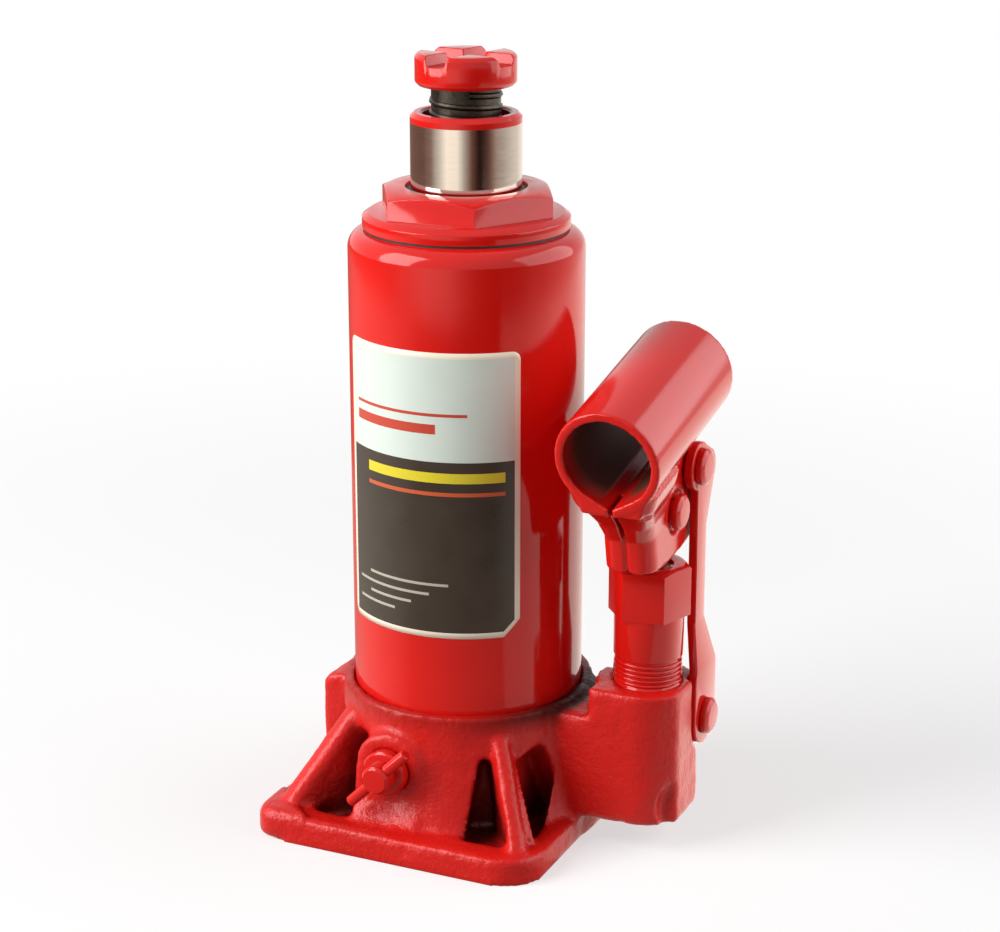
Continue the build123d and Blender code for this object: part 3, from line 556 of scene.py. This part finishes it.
# %% Tapered hollows
CORE_LINE = [(24, 1.5), (38.6, 1.5), (38.6, 4.6), (36.2, 10), (34.7, 16), (33.7, 22), (33, 29),
             (24, 29)]
CORE_FROM, CORE_TO, CORE_STEPS = 13, 82, 18
HOLLOW_FLOOR, HOLLOW_INNER_TOP, HOLLOW_OUTER_TOP = 3.4, 22, 31
NARROW_HOLLOW = ([(10.5, 23.8), (17.4, 19.8), (29.0, 36.3), (15.6, 36.3)],
                 [(13.4, 22.3), (15.4, 21.1), (25.0, 36.3), (20.6, 36.3)])
WIDE_HOLLOW = ([(21.7, 21.2), (26.4, 6.2), (30.2, 9.0), (31.5, 30.4)],
               [(21.4, 21.0), (23.0, 12.6), (31.2, 18.0), (31.4, 30.2)])


def swept_mesh(name, profile, start, end, steps):
    """Profile of radius and height in mm, swept about Z between two angles in degrees."""
    count = len(profile)
    whole = end - start == 360
    rings = steps if whole else steps + 1
    verts, faces = [], []
    for ring in range(rings):
        angle = math.radians(start + (end - start) * ring / steps)
        for radius, height in profile:
            verts.append((radius * MM * math.cos(angle), radius * MM * math.sin(angle),
                          height * MM))
    for ring in range(steps):
        after = (ring + 1) % rings
        for index in range(count):
            turn = (index + 1) % count
            faces.append((ring * count + index, after * count + index,
                          after * count + turn, ring * count + turn))
    if not whole:
        faces += [tuple(range(count)), tuple(range(steps * count, rings * count))]
    mesh = bpy.data.meshes.new(name)
    mesh.from_pydata(verts, [], faces)
    with edited(mesh) as work:
        bmesh.ops.recalc_face_normals(work, faces=work.faces)
    return mesh


def tapered_hollow(floor_plan, top_plan, side):
    """Cutter with four plan points at the floor and four at the top, inner pair first."""
    tops = (HOLLOW_INNER_TOP, HOLLOW_INNER_TOP, HOLLOW_OUTER_TOP, HOLLOW_OUTER_TOP)
    points = [(x * MM, y * side * MM, HOLLOW_FLOOR * MM) for x, y in floor_plan]
    points += [(x * MM, y * side * MM, top * MM) for (x, y), top in zip(top_plan, tops)]
    return hull_mesh(points)

# %% Thin rib and full corners
RIB_HALF, RIB_HEAD, RIB_FOOT = 2.1, (20.0, 22.4), (31.8, 33.4)
RIB_LOW, RIB_HEAD_TOP, RIB_FOOT_TOP = 4.0, 31.0, 9.0
FOOT_LOW = low("base_casting")
CORNER_RADIUS, CORNER_INSET, CORNER_LENGTH = 6.0, 0.2, 15.0
# Heights on the rim's edge, each with how far the outline draws in there.
CORNER_DRAFT = [(0.2, 0.7), (1.3, 0.0), (5.8, 0.1), (7.6, 0.9), (8.3, 2.3)]


def rib_block(side):
    """Thin rib from the collar down to the corner of the rim, at 45 degrees."""
    slant = 0.7
    points = []
    for (x, y), top in ((RIB_HEAD, RIB_HEAD_TOP), (RIB_FOOT, RIB_FOOT_TOP)):
        for across in (-RIB_HALF, RIB_HALF):
            for height in (RIB_LOW, top):
                points.append(((x + slant * across) * MM, (y - slant * across) * side * MM,
                               height * MM))
    return hull_mesh(points)


def foot_corner(side):
    """Fuller left corner of the rim, a little drawn in at its top and bottom."""
    left, end = FOOT_LOW.x / MM + CORNER_INSET, abs(FOOT_LOW.y) / MM - CORNER_INSET
    points = []
    for height, draw in CORNER_DRAFT:
        outline = [(left + CORNER_LENGTH, end - draw), (left + draw, end - CORNER_LENGTH)]
        for step in range(9):
            angle = math.radians(90 + 90 * step / 8)
            outline.append((left + CORNER_RADIUS + (CORNER_RADIUS - draw) * math.cos(angle),
                            end - CORNER_RADIUS + (CORNER_RADIUS - draw) * math.sin(angle)))
        points += [(x * MM, y * side * MM, height * MM) for x, y in outline]
    return hull_mesh(points)


# %% Cast skin
CAST_QUAD = 0.8
casting = merged_copy("base_casting", "cast_base_skin")
for side in (-1, 1):
    add_mesh(casting, swept_mesh("core_sector", CORE_LINE, CORE_FROM * side, CORE_TO * side,
                                 CORE_STEPS))
even_quads(casting, CAST_QUAD, 0)
for side in (-1, 1):
    cut_away(casting, tapered_hollow(*NARROW_HOLLOW, side))
    cut_away(casting, tapered_hollow(*WIDE_HOLLOW, side))
    add_mesh(casting, rib_block(side))
    add_mesh(casting, foot_corner(side))
even_quads(casting, CAST_QUAD, 3)
skin = casting.modifiers.new("lumps", "NODES")
skin.node_group = lumpy_tree()
set_inputs(skin, {"Lump size": 6 * MM, "Lump height": 0.7 * MM, "Still below": 3 * MM})
settle(casting)
casting.data.shade_smooth()
declare(casting, "base_casting")

# %% [markdown]
# ## The handle socket
# One piece of sheet is rolled round the handle and folded down into two cheeks, so
# its edges are round and its outside is evenly painted. Inside the tube the colour
# turns dark brown and rough, darker deeper in. The change between the two follows
# the tube's axis, so the finish measures the distance from that axis.

# %% Socket finish
BORE_MOUNT = [m for m in frame["record"]["mounts"] if m["name"] == "handle_bore"][0]
BORE_AXIS, BORE_POINT = Vector(BORE_MOUNT["axis"]), Vector(BORE_MOUNT["pos_m"])
BORE = BORE_MOUNT["dims"]["r_mm"]
# Depths along the bore over which the inside turns dark, and its dark brown colour.
DARK_FROM, DARK_TO = 25.8, 19
BORE_DARK_COLOUR = "5c2c1e"
SOCKET_ROUGHNESS, BORE_ROUGHNESS = 0.16, 0.7


def socket_finish():
    """Enamel that turns dark brown and rough a few millimetres inside the bore."""
    material, tree, shader, place = enamel("red_enamel_with_dark_bore", 2.5, 0.01,
                                           SOCKET_ROUGHNESS, 2.5)
    arm = add_node(tree, "ShaderNodeVectorMath", {0: place, 1: BORE_POINT}, operation="SUBTRACT")
    cross = add_node(tree, "ShaderNodeVectorMath", {0: arm.outputs[0], 1: BORE_AXIS},
                     operation="CROSS_PRODUCT")
    reach = add_node(tree, "ShaderNodeVectorMath", {0: cross.outputs[0]}, operation="LENGTH")
    deep = add_node(tree, "ShaderNodeVectorMath", {0: arm.outputs[0], 1: BORE_AXIS},
                    operation="DOT_PRODUCT")
    inside = add_node(tree, "ShaderNodeMapRange", {"Value": reach.outputs["Value"],
                                                   "From Min": (BORE + 0.6) * MM,
                                                   "From Max": (BORE + 0.3) * MM})
    mouth = add_node(tree, "ShaderNodeMapRange", {"Value": deep.outputs["Value"],
                                                  "From Min": DARK_FROM * MM,
                                                  "From Max": DARK_TO * MM})
    dark = both(tree, inside.outputs["Result"], mouth.outputs["Result"])
    lay_over(tree, shader, dark, BORE_DARK_COLOUR)
    run_input(tree, shader, "Roughness", dark, SOCKET_ROUGHNESS, BORE_ROUGHNESS)
    return material

# %% [markdown]
# The legs flare up to the round of the tube in one hollow curve, with the seam of
# the fold down their middle and a short slit above each cheek. Four hulls between
# five rounded sections fill the flare. Then the bore, the room between the cheeks,
# the seam, the slits and a seat round each head of the rivet are cut again.

# %% Flared neck
SOCKET_ALONG = -BORE_AXIS
SOCKET_UP = Vector((1, 0, 0)).cross(SOCKET_ALONG)
TUBE_RISE = (BORE_POINT - PIVOT).dot(SOCKET_UP) / MM
KEEL = TUBE_RISE - BORE - 4.0
LEG_HALF, LEG_ROOM, LEG_FRONT, LEG_BACK, MOUTH = 6.8, 4.5, -18.2, -8, -25.9
SHEET = 2.3
# Half width, front, height and corner radius of each section, from the legs to the mouth.
NECK_RINGS = [(LEG_HALF, LEG_FRONT - 0.3, KEEL - 10, 4.0),
              (LEG_HALF + 0.7, LEG_FRONT - 2.2, KEEL - 5.5, 4.0),
              (LEG_HALF + 1.9, LEG_FRONT - 4.8, KEEL - 1.5, 3.8),
              (LEG_HALF + 3.5, MOUTH + 0.4, KEEL + 2, 3.4),
              (11.7, MOUTH, KEEL + 6.5, 3.0)]
FAR = 30.0      # beyond the socket in any direction
BORE_ENDS, BORE_KEEL = (-32, 34), 1.7


def in_socket(x, along, up):
    """Point by its place from the pivot, along the tube and square to it, in mm."""
    base = Vector((PUMP_AXIS, PIVOT.y, PIVOT.z))
    return base + Vector((x * MM, 0, 0)) + SOCKET_ALONG * along * MM + SOCKET_UP * up * MM


def neck_ring(half_width, front, up, rounding):
    points = []
    for side in (-1, 1):
        points.append(in_socket(side * half_width, LEG_BACK, up))
        for step in range(7):
            turn = math.radians(90 * step / 6)
            points.append(in_socket(side * (half_width - rounding + rounding * math.cos(turn)),
                                    front + rounding - rounding * math.sin(turn), up))
    return points


def socket_block(across, along, up):
    """Block between two limits in each of the socket's own directions."""
    return hull_mesh([in_socket(x, y, z) for x in across for y in along for z in up])


def bore_cutter():
    """Round bore with its keel, longer than the tube at both ends."""
    points = []
    for along in BORE_ENDS:
        for step in range(64):
            turn = 2 * math.pi * step / 64
            points.append(in_socket(BORE * math.sin(turn), along,
                                    TUBE_RISE + BORE * math.cos(turn)))
        points.append(in_socket(0, along, TUBE_RISE - BORE - BORE_KEEL))
    return hull_mesh(points)


def rivet_room(side, spare=1.1, depth=1.3):
    """Shallow round seat in a cheek that leaves a dark gap round the rivet's head."""
    radius = (high("plunger_pin").z - low("plunger_pin").z) / 2 + spare * MM
    points = []
    for x in (LEG_HALF - depth, LEG_HALF + 8):
        for step in range(40):
            turn = 2 * math.pi * step / 40
            points.append((PIVOT.x + side * x * MM, PIVOT.y + radius * math.cos(turn),
                           PIVOT.z + radius * math.sin(turn)))
    return hull_mesh(points)

# %% Socket
SOCKET_QUAD = 0.42
SEAM_HALF, SEAM_DEPTH = 0.6, 0.7
SLIT_INSIDE, SLIT_ALONG, SLIT_UP = 9.3, (-4.5, 4.8), (KEEL + 6.3, KEEL + 7.6)
socket = merged_copy("handle_socket", "folded_handle_socket")
rings = [neck_ring(*row) for row in NECK_RINGS]
for lower, upper in zip(rings, rings[1:]):
    add_mesh(socket, hull_mesh(lower + upper))
even_quads(socket, SOCKET_QUAD, 0)
cut_away(socket, bore_cutter())
cut_away(socket, socket_block((-LEG_ROOM, LEG_ROOM), (LEG_FRONT + SHEET, FAR), (-FAR, KEEL - 0.4)))
cut_away(socket, socket_block((-SEAM_HALF, SEAM_HALF), (-FAR, LEG_FRONT + SEAM_DEPTH),
                              (-14, KEEL + 2.5)))
for side in (-1, 1):
    cut_away(socket, rivet_room(side))
    cut_away(socket, socket_block((side * SLIT_INSIDE, side * FAR), SLIT_ALONG, SLIT_UP))
even_quads(socket, SOCKET_QUAD, 3)
socket.data.materials.clear()
socket.data.materials.append(socket_finish())
socket.data.shade_smooth()
declare(socket, "handle_socket")

# %% [markdown]
# ## Machined and pressed pieces
# The nut, saddle, pump body, links and pins have small broken edges of a few tenths
# of a millimetre. A bevel by angle gives each one its own width.

# %% Pieces with bevelled edges
BEVELS = {
    "top_nut": ("hexagon_top_nut", 0.5),
    "saddle": ("crossed_saddle", 0.45),
    "pump_body": ("pump_body_skin", 0.35),
    "link_right": ("outer_link", 0.4),
    "link_left": ("inner_link", 0.4),
    "plunger_pin": ("plunger_rivet", 0.3),
    "socket_link_pin": ("socket_rivet", 0.3),
    "link_pivot_pin": ("link_rivet", 0.3),
    "release_valve": ("release_valve_skin", 0.3),
    "release_tee_bar": ("tee_bar", 0.2),
}
for node, (name, width) in BEVELS.items():
    piece = bevelled(node, name, width)
    declare(piece, node)

# %% [markdown]
# ## The reservoir tube
# The tube is drawn steel with a round shoulder, and the eye follows its long soft
# reflections, so it is turned afresh with many steps. A profile is set down once
# and swept about Z, which closes it without poles because the top is open.

# %% Tube
TUBE_WALL, TUBE_BEND, TUBE_OPENING, TUBE_STEPS = 2.6, 4.5, 22.0, 192
TUBE_SHARP = math.radians(35)


def arc(cx, cz, radius, start, end, steps):
    points = []
    for step in range(steps + 1):
        angle = math.radians(start + (end - start) * step / steps)
        points.append((cx + radius * math.cos(angle), cz + radius * math.sin(angle)))
    return points


def tube_profile():
    outer, top, base = TUBE_RADIUS / MM, TUBE_TOP / MM, TUBE_LOW / MM
    centre = (outer - TUBE_BEND, top - TUBE_BEND)
    points = [(outer - TUBE_WALL, base), (outer, base)]
    points += arc(*centre, TUBE_BEND, 0, 90, 12)
    points += [(TUBE_OPENING, top), (TUBE_OPENING, top - TUBE_WALL)]
    points += arc(*centre, TUBE_BEND - TUBE_WALL, 90, 0, 8)
    return points


tube_mesh = swept_mesh("drawn_reservoir_tube", tube_profile(), 0, 360, TUBE_STEPS)
tube_mesh.shade_smooth()
tube_mesh.set_sharp_from_angle(angle=TUBE_SHARP)
declare(link_piece("drawn_reservoir_tube", tube_mesh, "housing", "red_tube_paint"),
        "reservoir_tube")
print("tube profile points", len(tube_profile()))

# %% [markdown]
# ## Threads
# A thread is one profile that follows a helix. A geometry tree draws the helix as a
# spiral curve and sweeps a small hexagon along it, half of it sunk in the root. Its
# inputs are the root radius, the depth, the pitch, the turns and the place, so one
# tree serves both the pump body and the extension screw.

# %% Geometry tree for a thread
RIDGE_SHARE = 1.2      # radius of the swept hexagon, as a share of the depth


def thread_tree():
    tree, start = geometry_tree("thread_on_helix", (
        ("Root radius", "Float"), ("Depth", "Float"), ("Pitch", "Float"), ("Turns", "Float"),
        ("Base", "Vector"), ("Finish", "Material")))
    helix = add_node(tree, "GeometryNodeCurveSpiral", {
        "Resolution": 96, "Rotations": start["Turns"],
        "Start Radius": start["Root radius"], "End Radius": start["Root radius"],
        "Height": both(tree, start["Pitch"], start["Turns"])})
    ridge = add_node(tree, "GeometryNodeCurvePrimitiveCircle", {
        "Radius": both(tree, start["Depth"], RIDGE_SHARE), "Resolution": 6})
    swept = add_node(tree, "GeometryNodeCurveToMesh", {"Curve": helix.outputs["Curve"],
                                                       "Profile Curve": ridge.outputs["Curve"],
                                                       "Fill Caps": True})
    moved = add_node(tree, "GeometryNodeTransform", {"Geometry": swept.outputs["Mesh"],
                                                     "Translation": start["Base"]})
    solid = add_node(tree, "GeometryNodeRealizeInstances",
                     {"Geometry": moved.outputs["Geometry"]})
    painted = add_node(tree, "GeometryNodeSetMaterial", {"Geometry": solid.outputs["Geometry"],
                                                         "Material": start["Finish"]})
    end = add_node(tree, "NodeGroupOutput")
    tree.links.new(painted.outputs["Geometry"], end.inputs["Geometry"])
    return tree


# %% Threads on the pump body and the extension screw
PUMP_ROOT, PUMP_THREAD_DEPTH, PUMP_PITCH, PUMP_TURNS = 8.25, 0.4, 1.25, 5.0
PUMP_THREAD_LOW = high("base_casting").z + 0.6 * MM
SCREW_ROOT, SCREW_THREAD_DEPTH, SCREW_PITCH = 8.3, 0.78, 3.0
SCREW_LOW, SCREW_TOP = low("extension_screw").z, low("saddle").z
SCREW_TURNS = (SCREW_TOP - SCREW_LOW) / (SCREW_PITCH * MM) - 1.5
threads = thread_tree()


def thread_piece(name, body, slot, root, depth, pitch, turns, base):
    """Thread with its root radius, depth and pitch in mm, from a place upwards."""
    piece = link_piece(name, bpy.data.meshes.new(name), body, slot)
    modifier = piece.modifiers.new("thread", "NODES")
    modifier.node_group = threads
    set_inputs(modifier, {"Root radius": root * MM, "Depth": depth * MM, "Pitch": pitch * MM,
                          "Turns": turns, "Base": base, "Finish": FINISHES[slot]})
    settle(piece)
    piece.data.shade_smooth()
    declare(piece)


thread_piece("pump_body_thread", "housing", "red_tube_paint", PUMP_ROOT, PUMP_THREAD_DEPTH,
             PUMP_PITCH, PUMP_TURNS, (PUMP_AXIS, 0, PUMP_THREAD_LOW))
thread_piece("extension_screw_thread", "extension", "dark_screw_steel", SCREW_ROOT,
             SCREW_THREAD_DEPTH, SCREW_PITCH, SCREW_TURNS, (0, 0, SCREW_LOW + SCREW_PITCH * MM))

# %% [markdown]
# ## The label field
# Jacks of this kind carry a printed film on the tube. Here it is a plain two-tone
# field with a pale border and a few coloured bands, and it says nothing. The film
# is a thin curved sheet with rounded corners and one corner cut. Its map runs round
# and up the tube, one unit for 100 mm, so the print is worked out in millimetres.

# %% Size of the label
LABEL_FROM, LABEL_TO = -137.0, -39.0
LABEL_LOW, LABEL_HIGH, LABEL_SPLIT = 57.6, 131.8, 104.0
BORDER, FILM = 1.5, 0.1
CORNER_ROUND, CORNER_CUT = 2.2, 4.4
MAP_UNIT = 100.0
LABEL_RADIUS = TUBE_RADIUS / MM + 0.12
LABEL_WIDE = math.radians(LABEL_TO - LABEL_FROM) * LABEL_RADIUS
LABEL_TALL = LABEL_HIGH - LABEL_LOW
BORDER_INK, PALE_INK, DARK_INK, WEAR = "f6ecd6", "dbe6db", "33291f", "8a7a68"
HAZE_MM, HAZE_DEPTH_MM, MOST_WORN = 9, 0.03, 0.12
FILM_ROUGHNESS, FILM_IOR = (0.24, 0.34), 1.49
# Low, high, left and right limits of each band in mm, and its ink.
PRINTED_BANDS = [(53.5, 56.0, 4.0, 30.0, "c8402c"), (58.0, 58.8, 4.0, 38.0, "c8402c"),
                 (41.0, 43.6, 9.0, LABEL_WIDE - 4.0, "e6d22a"),
                 (37.6, 38.6, 9.0, LABEL_WIDE - 4.0, "d05a30")]
for row in range(4):
    PRINTED_BANDS.append((6.0 + 2.6 * row, 6.7 + 2.6 * row, 4.0 + 5 * (row % 2), 18.0 + 5 * row,
                          "b9b2a2"))


def label_inset(along):
    """How far the lower and the upper edge draw in at a place along the label."""
    side = min(along, LABEL_WIDE - along)
    lack = max(CORNER_ROUND - side, 0)
    curve = CORNER_ROUND - math.sqrt(max(CORNER_ROUND ** 2 - lack ** 2, 0))
    cut = max(along - (LABEL_WIDE - CORNER_CUT), 0)
    return max(curve, cut), curve

# %% Printed film
def band(tree, value, least, most):
    """One where a value lies between two limits, nought elsewhere."""
    return add_node(tree, "ShaderNodeMath", {0: value, 1: (least + most) / 2,
                                             2: (most - least) / 2},
                    operation="COMPARE").outputs[0]


def printed_film():
    material, tree, shader, place = new_material("printed_label_film")
    chart = add_node(tree, "ShaderNodeUVMap", uv_map="label")
    scaled = add_node(tree, "ShaderNodeVectorMath", {0: chart.outputs["UV"], "Scale": MAP_UNIT},
                      operation="SCALE")
    flat = add_node(tree, "ShaderNodeSeparateXYZ", {"Vector": scaled.outputs["Vector"]})
    along, up = flat.outputs["X"], flat.outputs["Y"]
    slant = add_node(tree, "ShaderNodeMath", {0: up, 1: along}, operation="SUBTRACT")
    uncut = add_node(tree, "ShaderNodeMath", {0: slant.outputs[0],
                                              1: CORNER_CUT + BORDER - LABEL_WIDE},
                     operation="GREATER_THAN").outputs[0]
    inside = both(tree, band(tree, along, BORDER, LABEL_WIDE - BORDER),
                  band(tree, up, BORDER, LABEL_TALL - BORDER))
    inside = both(tree, inside, uncut)
    split = LABEL_SPLIT - LABEL_LOW
    shader.inputs["Base Color"].default_value = hex_colour(BORDER_INK)
    for least, most, left, right, ink in [(split, LABEL_TALL, 0, LABEL_WIDE, PALE_INK),
                                          (0, split, 0, LABEL_WIDE, DARK_INK)] + PRINTED_BANDS:
        bar = both(tree, band(tree, up, least, most), band(tree, along, left, right))
        lay_over(tree, shader, both(tree, bar, inside), ink)
    haze = add_node(tree, "ShaderNodeTexNoise", {"Vector": place, "Scale": 1 / (HAZE_MM * MM),
                                                 "Detail": 3.0}).outputs["Fac"]
    lay_over(tree, shader, both(tree, haze, MOST_WORN), WEAR)
    run_input(tree, shader, "Roughness", haze, *FILM_ROUGHNESS)
    relief(tree, shader, haze, 0.4, HAZE_DEPTH_MM)
    shader.inputs["IOR"].default_value = FILM_IOR
    shader.inputs["Specular IOR Level"].default_value = 0.4
    return material

# %% Label sheet
def label_sheet():
    columns, rows = 140, 60
    flat, faces = [], []
    for column in range(columns + 1):
        along = LABEL_WIDE * (0.5 - 0.5 * math.cos(math.pi * column / columns))
        lower, upper = label_inset(along)
        for row in range(rows + 1):
            flat.append((along, lower + (LABEL_TALL - upper - lower) * row / rows))
    for column in range(columns):
        for row in range(rows):
            first = column * (rows + 1) + row
            faces.append((first, first + rows + 1, first + rows + 2, first + 1))
    curved = []
    for along, up in flat:
        angle = math.radians(LABEL_FROM) + along / LABEL_RADIUS
        curved.append((LABEL_RADIUS * MM * math.cos(angle), LABEL_RADIUS * MM * math.sin(angle),
                       (LABEL_LOW + up) * MM))
    mesh = bpy.data.meshes.new("label_field")
    mesh.from_pydata(curved, [], faces)
    chart = mesh.uv_layers.new(name="label")
    for loop in mesh.loops:
        along, up = flat[loop.vertex_index]
        chart.data[loop.index].uv = (along / MAP_UNIT, up / MAP_UNIT)
    piece = link_piece("label_field", mesh, "housing", "red_tube_paint")
    mesh.materials[0] = printed_film()
    thick = piece.modifiers.new("film", "SOLIDIFY")
    thick.thickness = FILM * MM
    thick.offset = -1
    settle(piece)
    piece.data.shade_smooth()
    return piece


declare(label_sheet())

# %% [markdown]
# ## Floor, light and camera
# A plain pale floor, one large soft lamp from the left, a weaker one from the right
# and a dim pale room. A jack is nearly all round walls, and seen from a little above
# such a wall mirrors the floor round it and not the lamps. In a studio pale cards
# and a dark cloth lie there. Here the floor answers mirror-like rays with two rings
# of light and dark sectors about the jack, and stays plain for every other ray. The
# near ring is seen in the tube and the far one in the ram, as it stands higher.

# %% Floor
CAMERA_AZIMUTH, CAMERA_HEIGHT_ANGLE, CAMERA_DISTANCE = 24.55, 17.53, 0.62
# Degrees from the camera's side, positive to the right, and the strength there.
NEAR_RING = [(-180, 0.35), (-158, 0.25), (-125, 0.7), (-96, 1.1), (-74, 1.0), (-56, 0.6),
             (-44, 0.2), (-30, 0.04), (30, 0.03), (34, 1.0), (54, 1.2), (72, 1.7), (90, 2.3),
             (110, 2.1), (138, 1.7), (165, 1.0), (180, 0.5)]
FAR_RING = [(-180, 0.3), (-98, 0.22), (-76, 0.34), (-57, 0.9), (-40, 1.7), (-18, 1.6),
            (-4, 0.7), (12, 0.2), (26, 0.03), (33, 0.03), (46, 0.14), (65, 0.5), (85, 0.65),
            (110, 0.95), (150, 1.3), (180, 1.0)]
# Distances from the jack, in metres.
RING_SPLIT = (0.74, 0.77)
CLOSE_GLOW, CLOSE_REACH = 0.5, (0.4, 0.3)
SHADE_FADES = (0.16, 0.5)
FLOOR_HALF = 3.0
FLOOR_GREY, CAMERA_LIFT = "a4a4a4", 0.6
DIM_TINT, BRIGHT_TINT, BRIGHT_LEVEL = "ff9a80", "fff8ee", 0.7


def sector_ramp(tree, turn, stops):
    """Strength by the angle from the camera's side, positive to the right."""
    ramp = add_node(tree, "ShaderNodeFloatCurve", {"Value": turn})
    curve = ramp.mapping.curves[0]
    ramp.mapping.clip_max_y = 4.0
    points = [((angle + 180) / 360, level) for angle, level in stops]
    while len(curve.points) < len(points):
        curve.points.new(0.5, 0.5)
    for point, (where, level) in zip(curve.points, points):
        point.location = (where, level)
        point.handle_type = "VECTOR"
    ramp.mapping.update()
    return ramp.outputs["Value"]


def mirrored_floor(tree, place, reach):
    """Ring of light and dark sectors for mirror-like rays."""
    turned = add_node(tree, "ShaderNodeMapping", {
        "Vector": place, "Rotation": (0, 0, math.radians(90 - CAMERA_AZIMUTH))})
    sweep = add_node(tree, "ShaderNodeTexGradient", {"Vector": turned.outputs["Vector"]},
                     gradient_type="RADIAL").outputs["Fac"]
    split = add_node(tree, "ShaderNodeMapRange", {"Value": reach, "From Min": RING_SPLIT[0],
                                                  "From Max": RING_SPLIT[1]})
    ring = add_node(tree, "ShaderNodeMix", {0: split.outputs["Result"],
                                            2: sector_ramp(tree, sweep, NEAR_RING),
                                            3: sector_ramp(tree, sweep, FAR_RING)},
                    data_type="FLOAT")
    close = add_node(tree, "ShaderNodeMapRange", {"Value": reach, "From Min": CLOSE_REACH[0],
                                                  "From Max": CLOSE_REACH[1],
                                                  "To Max": CLOSE_GLOW})
    level = add_node(tree, "ShaderNodeMath", {0: ring.outputs[0], 1: close.outputs["Result"]},
                     operation="MAXIMUM")
    warmth = add_node(tree, "ShaderNodeMapRange", {"Value": level.outputs[0],
                                                   "From Max": BRIGHT_LEVEL})
    tint = add_node(tree, "ShaderNodeMix", {"Factor": warmth.outputs["Result"],
                                            6: hex_colour(DIM_TINT), 7: hex_colour(BRIGHT_TINT)},
                    data_type="RGBA")
    return add_node(tree, "ShaderNodeEmission", {"Color": tint.outputs[2],
                                                 "Strength": level.outputs[0]}).outputs[0]


def pale_floor():
    """White to the camera, shaded near the jack, with the rings for mirror-like rays."""
    material, tree, shader, place = new_material("pale_floor")
    shader.inputs["Base Color"].default_value = hex_colour(FLOOR_GREY)
    shader.inputs["Roughness"].default_value = 0.9
    shader.inputs["Specular IOR Level"].default_value = 0.0
    shader.inputs["Emission Color"].default_value = (1, 1, 1, 1)
    path = add_node(tree, "ShaderNodeLightPath")
    to_camera = path.outputs["Is Camera Ray"]
    tree.links.new(both(tree, to_camera, CAMERA_LIFT), shader.inputs["Emission Strength"])
    reach = add_node(tree, "ShaderNodeVectorMath", {0: place}, operation="LENGTH").outputs["Value"]
    white = add_node(tree, "ShaderNodeEmission", {"Color": (1, 1, 1, 1), "Strength": 1.0})
    fade = add_node(tree, "ShaderNodeMapRange", {"Value": reach, "From Min": SHADE_FADES[0],
                                                 "From Max": SHADE_FADES[1]},
                    interpolation_type="SMOOTHSTEP")
    seen = add_node(tree, "ShaderNodeMixShader", {0: both(tree, fade.outputs["Result"], to_camera),
                                                  1: shader.outputs[0], 2: white.outputs[0]})
    mirror = add_node(tree, "ShaderNodeMixShader", {0: path.outputs["Is Glossy Ray"],
                                                    1: seen.outputs[0],
                                                    2: mirrored_floor(tree, place, reach)})
    tree.links.new(mirror.outputs[0], tree.nodes["Material Output"].inputs["Surface"])
    return material


floor_mesh = bpy.data.meshes.new("floor")
floor_mesh.from_pydata([(FLOOR_HALF * x, FLOOR_HALF * y, 0)
                        for x, y in ((-1, -1), (1, -1), (1, 1), (-1, 1))],
                       [], [(0, 1, 2, 3)])
floor_mesh.materials.append(pale_floor())
floor = new_object("floor", floor_mesh)

# %% World and lamps
ROOM_LEVEL, SEEN_ROOM_LEVEL = 0.09, 1.0
MIDDLE = Vector((0.01, 0, 0.1))
world = bpy.data.worlds.new("pale_room")
bpy.context.scene.world = world
world.use_nodes = True
room = world.node_tree
room.nodes.clear()
path = add_node(room, "ShaderNodeLightPath")
seen = path.outputs["Is Camera Ray"]
for kind in ("Is Glossy Ray", "Is Transmission Ray"):
    seen = add_node(room, "ShaderNodeMath", {0: seen, 1: path.outputs[kind]},
                    operation="MAXIMUM").outputs[0]
level = add_node(room, "ShaderNodeMapRange", {"Value": seen, "To Min": ROOM_LEVEL,
                                              "To Max": SEEN_ROOM_LEVEL})
sky = add_node(room, "ShaderNodeBackground", {"Color": (1, 1, 1, 1),
                                              "Strength": level.outputs["Result"]})
add_node(room, "ShaderNodeOutputWorld", {"Surface": sky.outputs[0]})


def face_point(thing, target, side, lift, distance):
    """Place a lamp or camera by its angles in degrees from the camera's side and the floor."""
    turn, lift = math.radians(CAMERA_AZIMUTH + side), math.radians(lift)
    away = Vector((math.sin(turn) * math.cos(lift), -math.cos(turn) * math.cos(lift),
                   math.sin(lift)))
    thing.location = target + away * distance
    thing.rotation_euler = (-away).to_track_quat("-Z", "Y").to_euler()


def soft_lamp(name, side, lift, distance, size, power):
    """Large area lamp that faces the jack, hidden from the camera."""
    data = bpy.data.lights.new(name, "AREA")
    data.shape = "RECTANGLE"
    data.size, data.size_y = size
    data.energy = power
    lamp = new_object(name, data)
    face_point(lamp, MIDDLE, side, lift, distance)
    lamp.visible_camera = False


soft_lamp("left_softbox", side=-72, lift=27, distance=0.9, size=(0.6, 0.9), power=13)
soft_lamp("right_softbox", side=90, lift=23, distance=0.85, size=(1.1, 0.8), power=7.5)

# %% Camera
AIM = Vector((0.0089, 0.0007, 0.0948))
camera_data = bpy.data.cameras.new("camera")
camera_data.lens = 86.6
camera_data.sensor_width = 36
camera = new_object("camera", camera_data)
face_point(camera, AIM, 0, CAMERA_HEIGHT_ANGLE, CAMERA_DISTANCE)
bpy.context.scene.camera = camera
bpy.context.scene.view_settings.view_transform = "Standard"
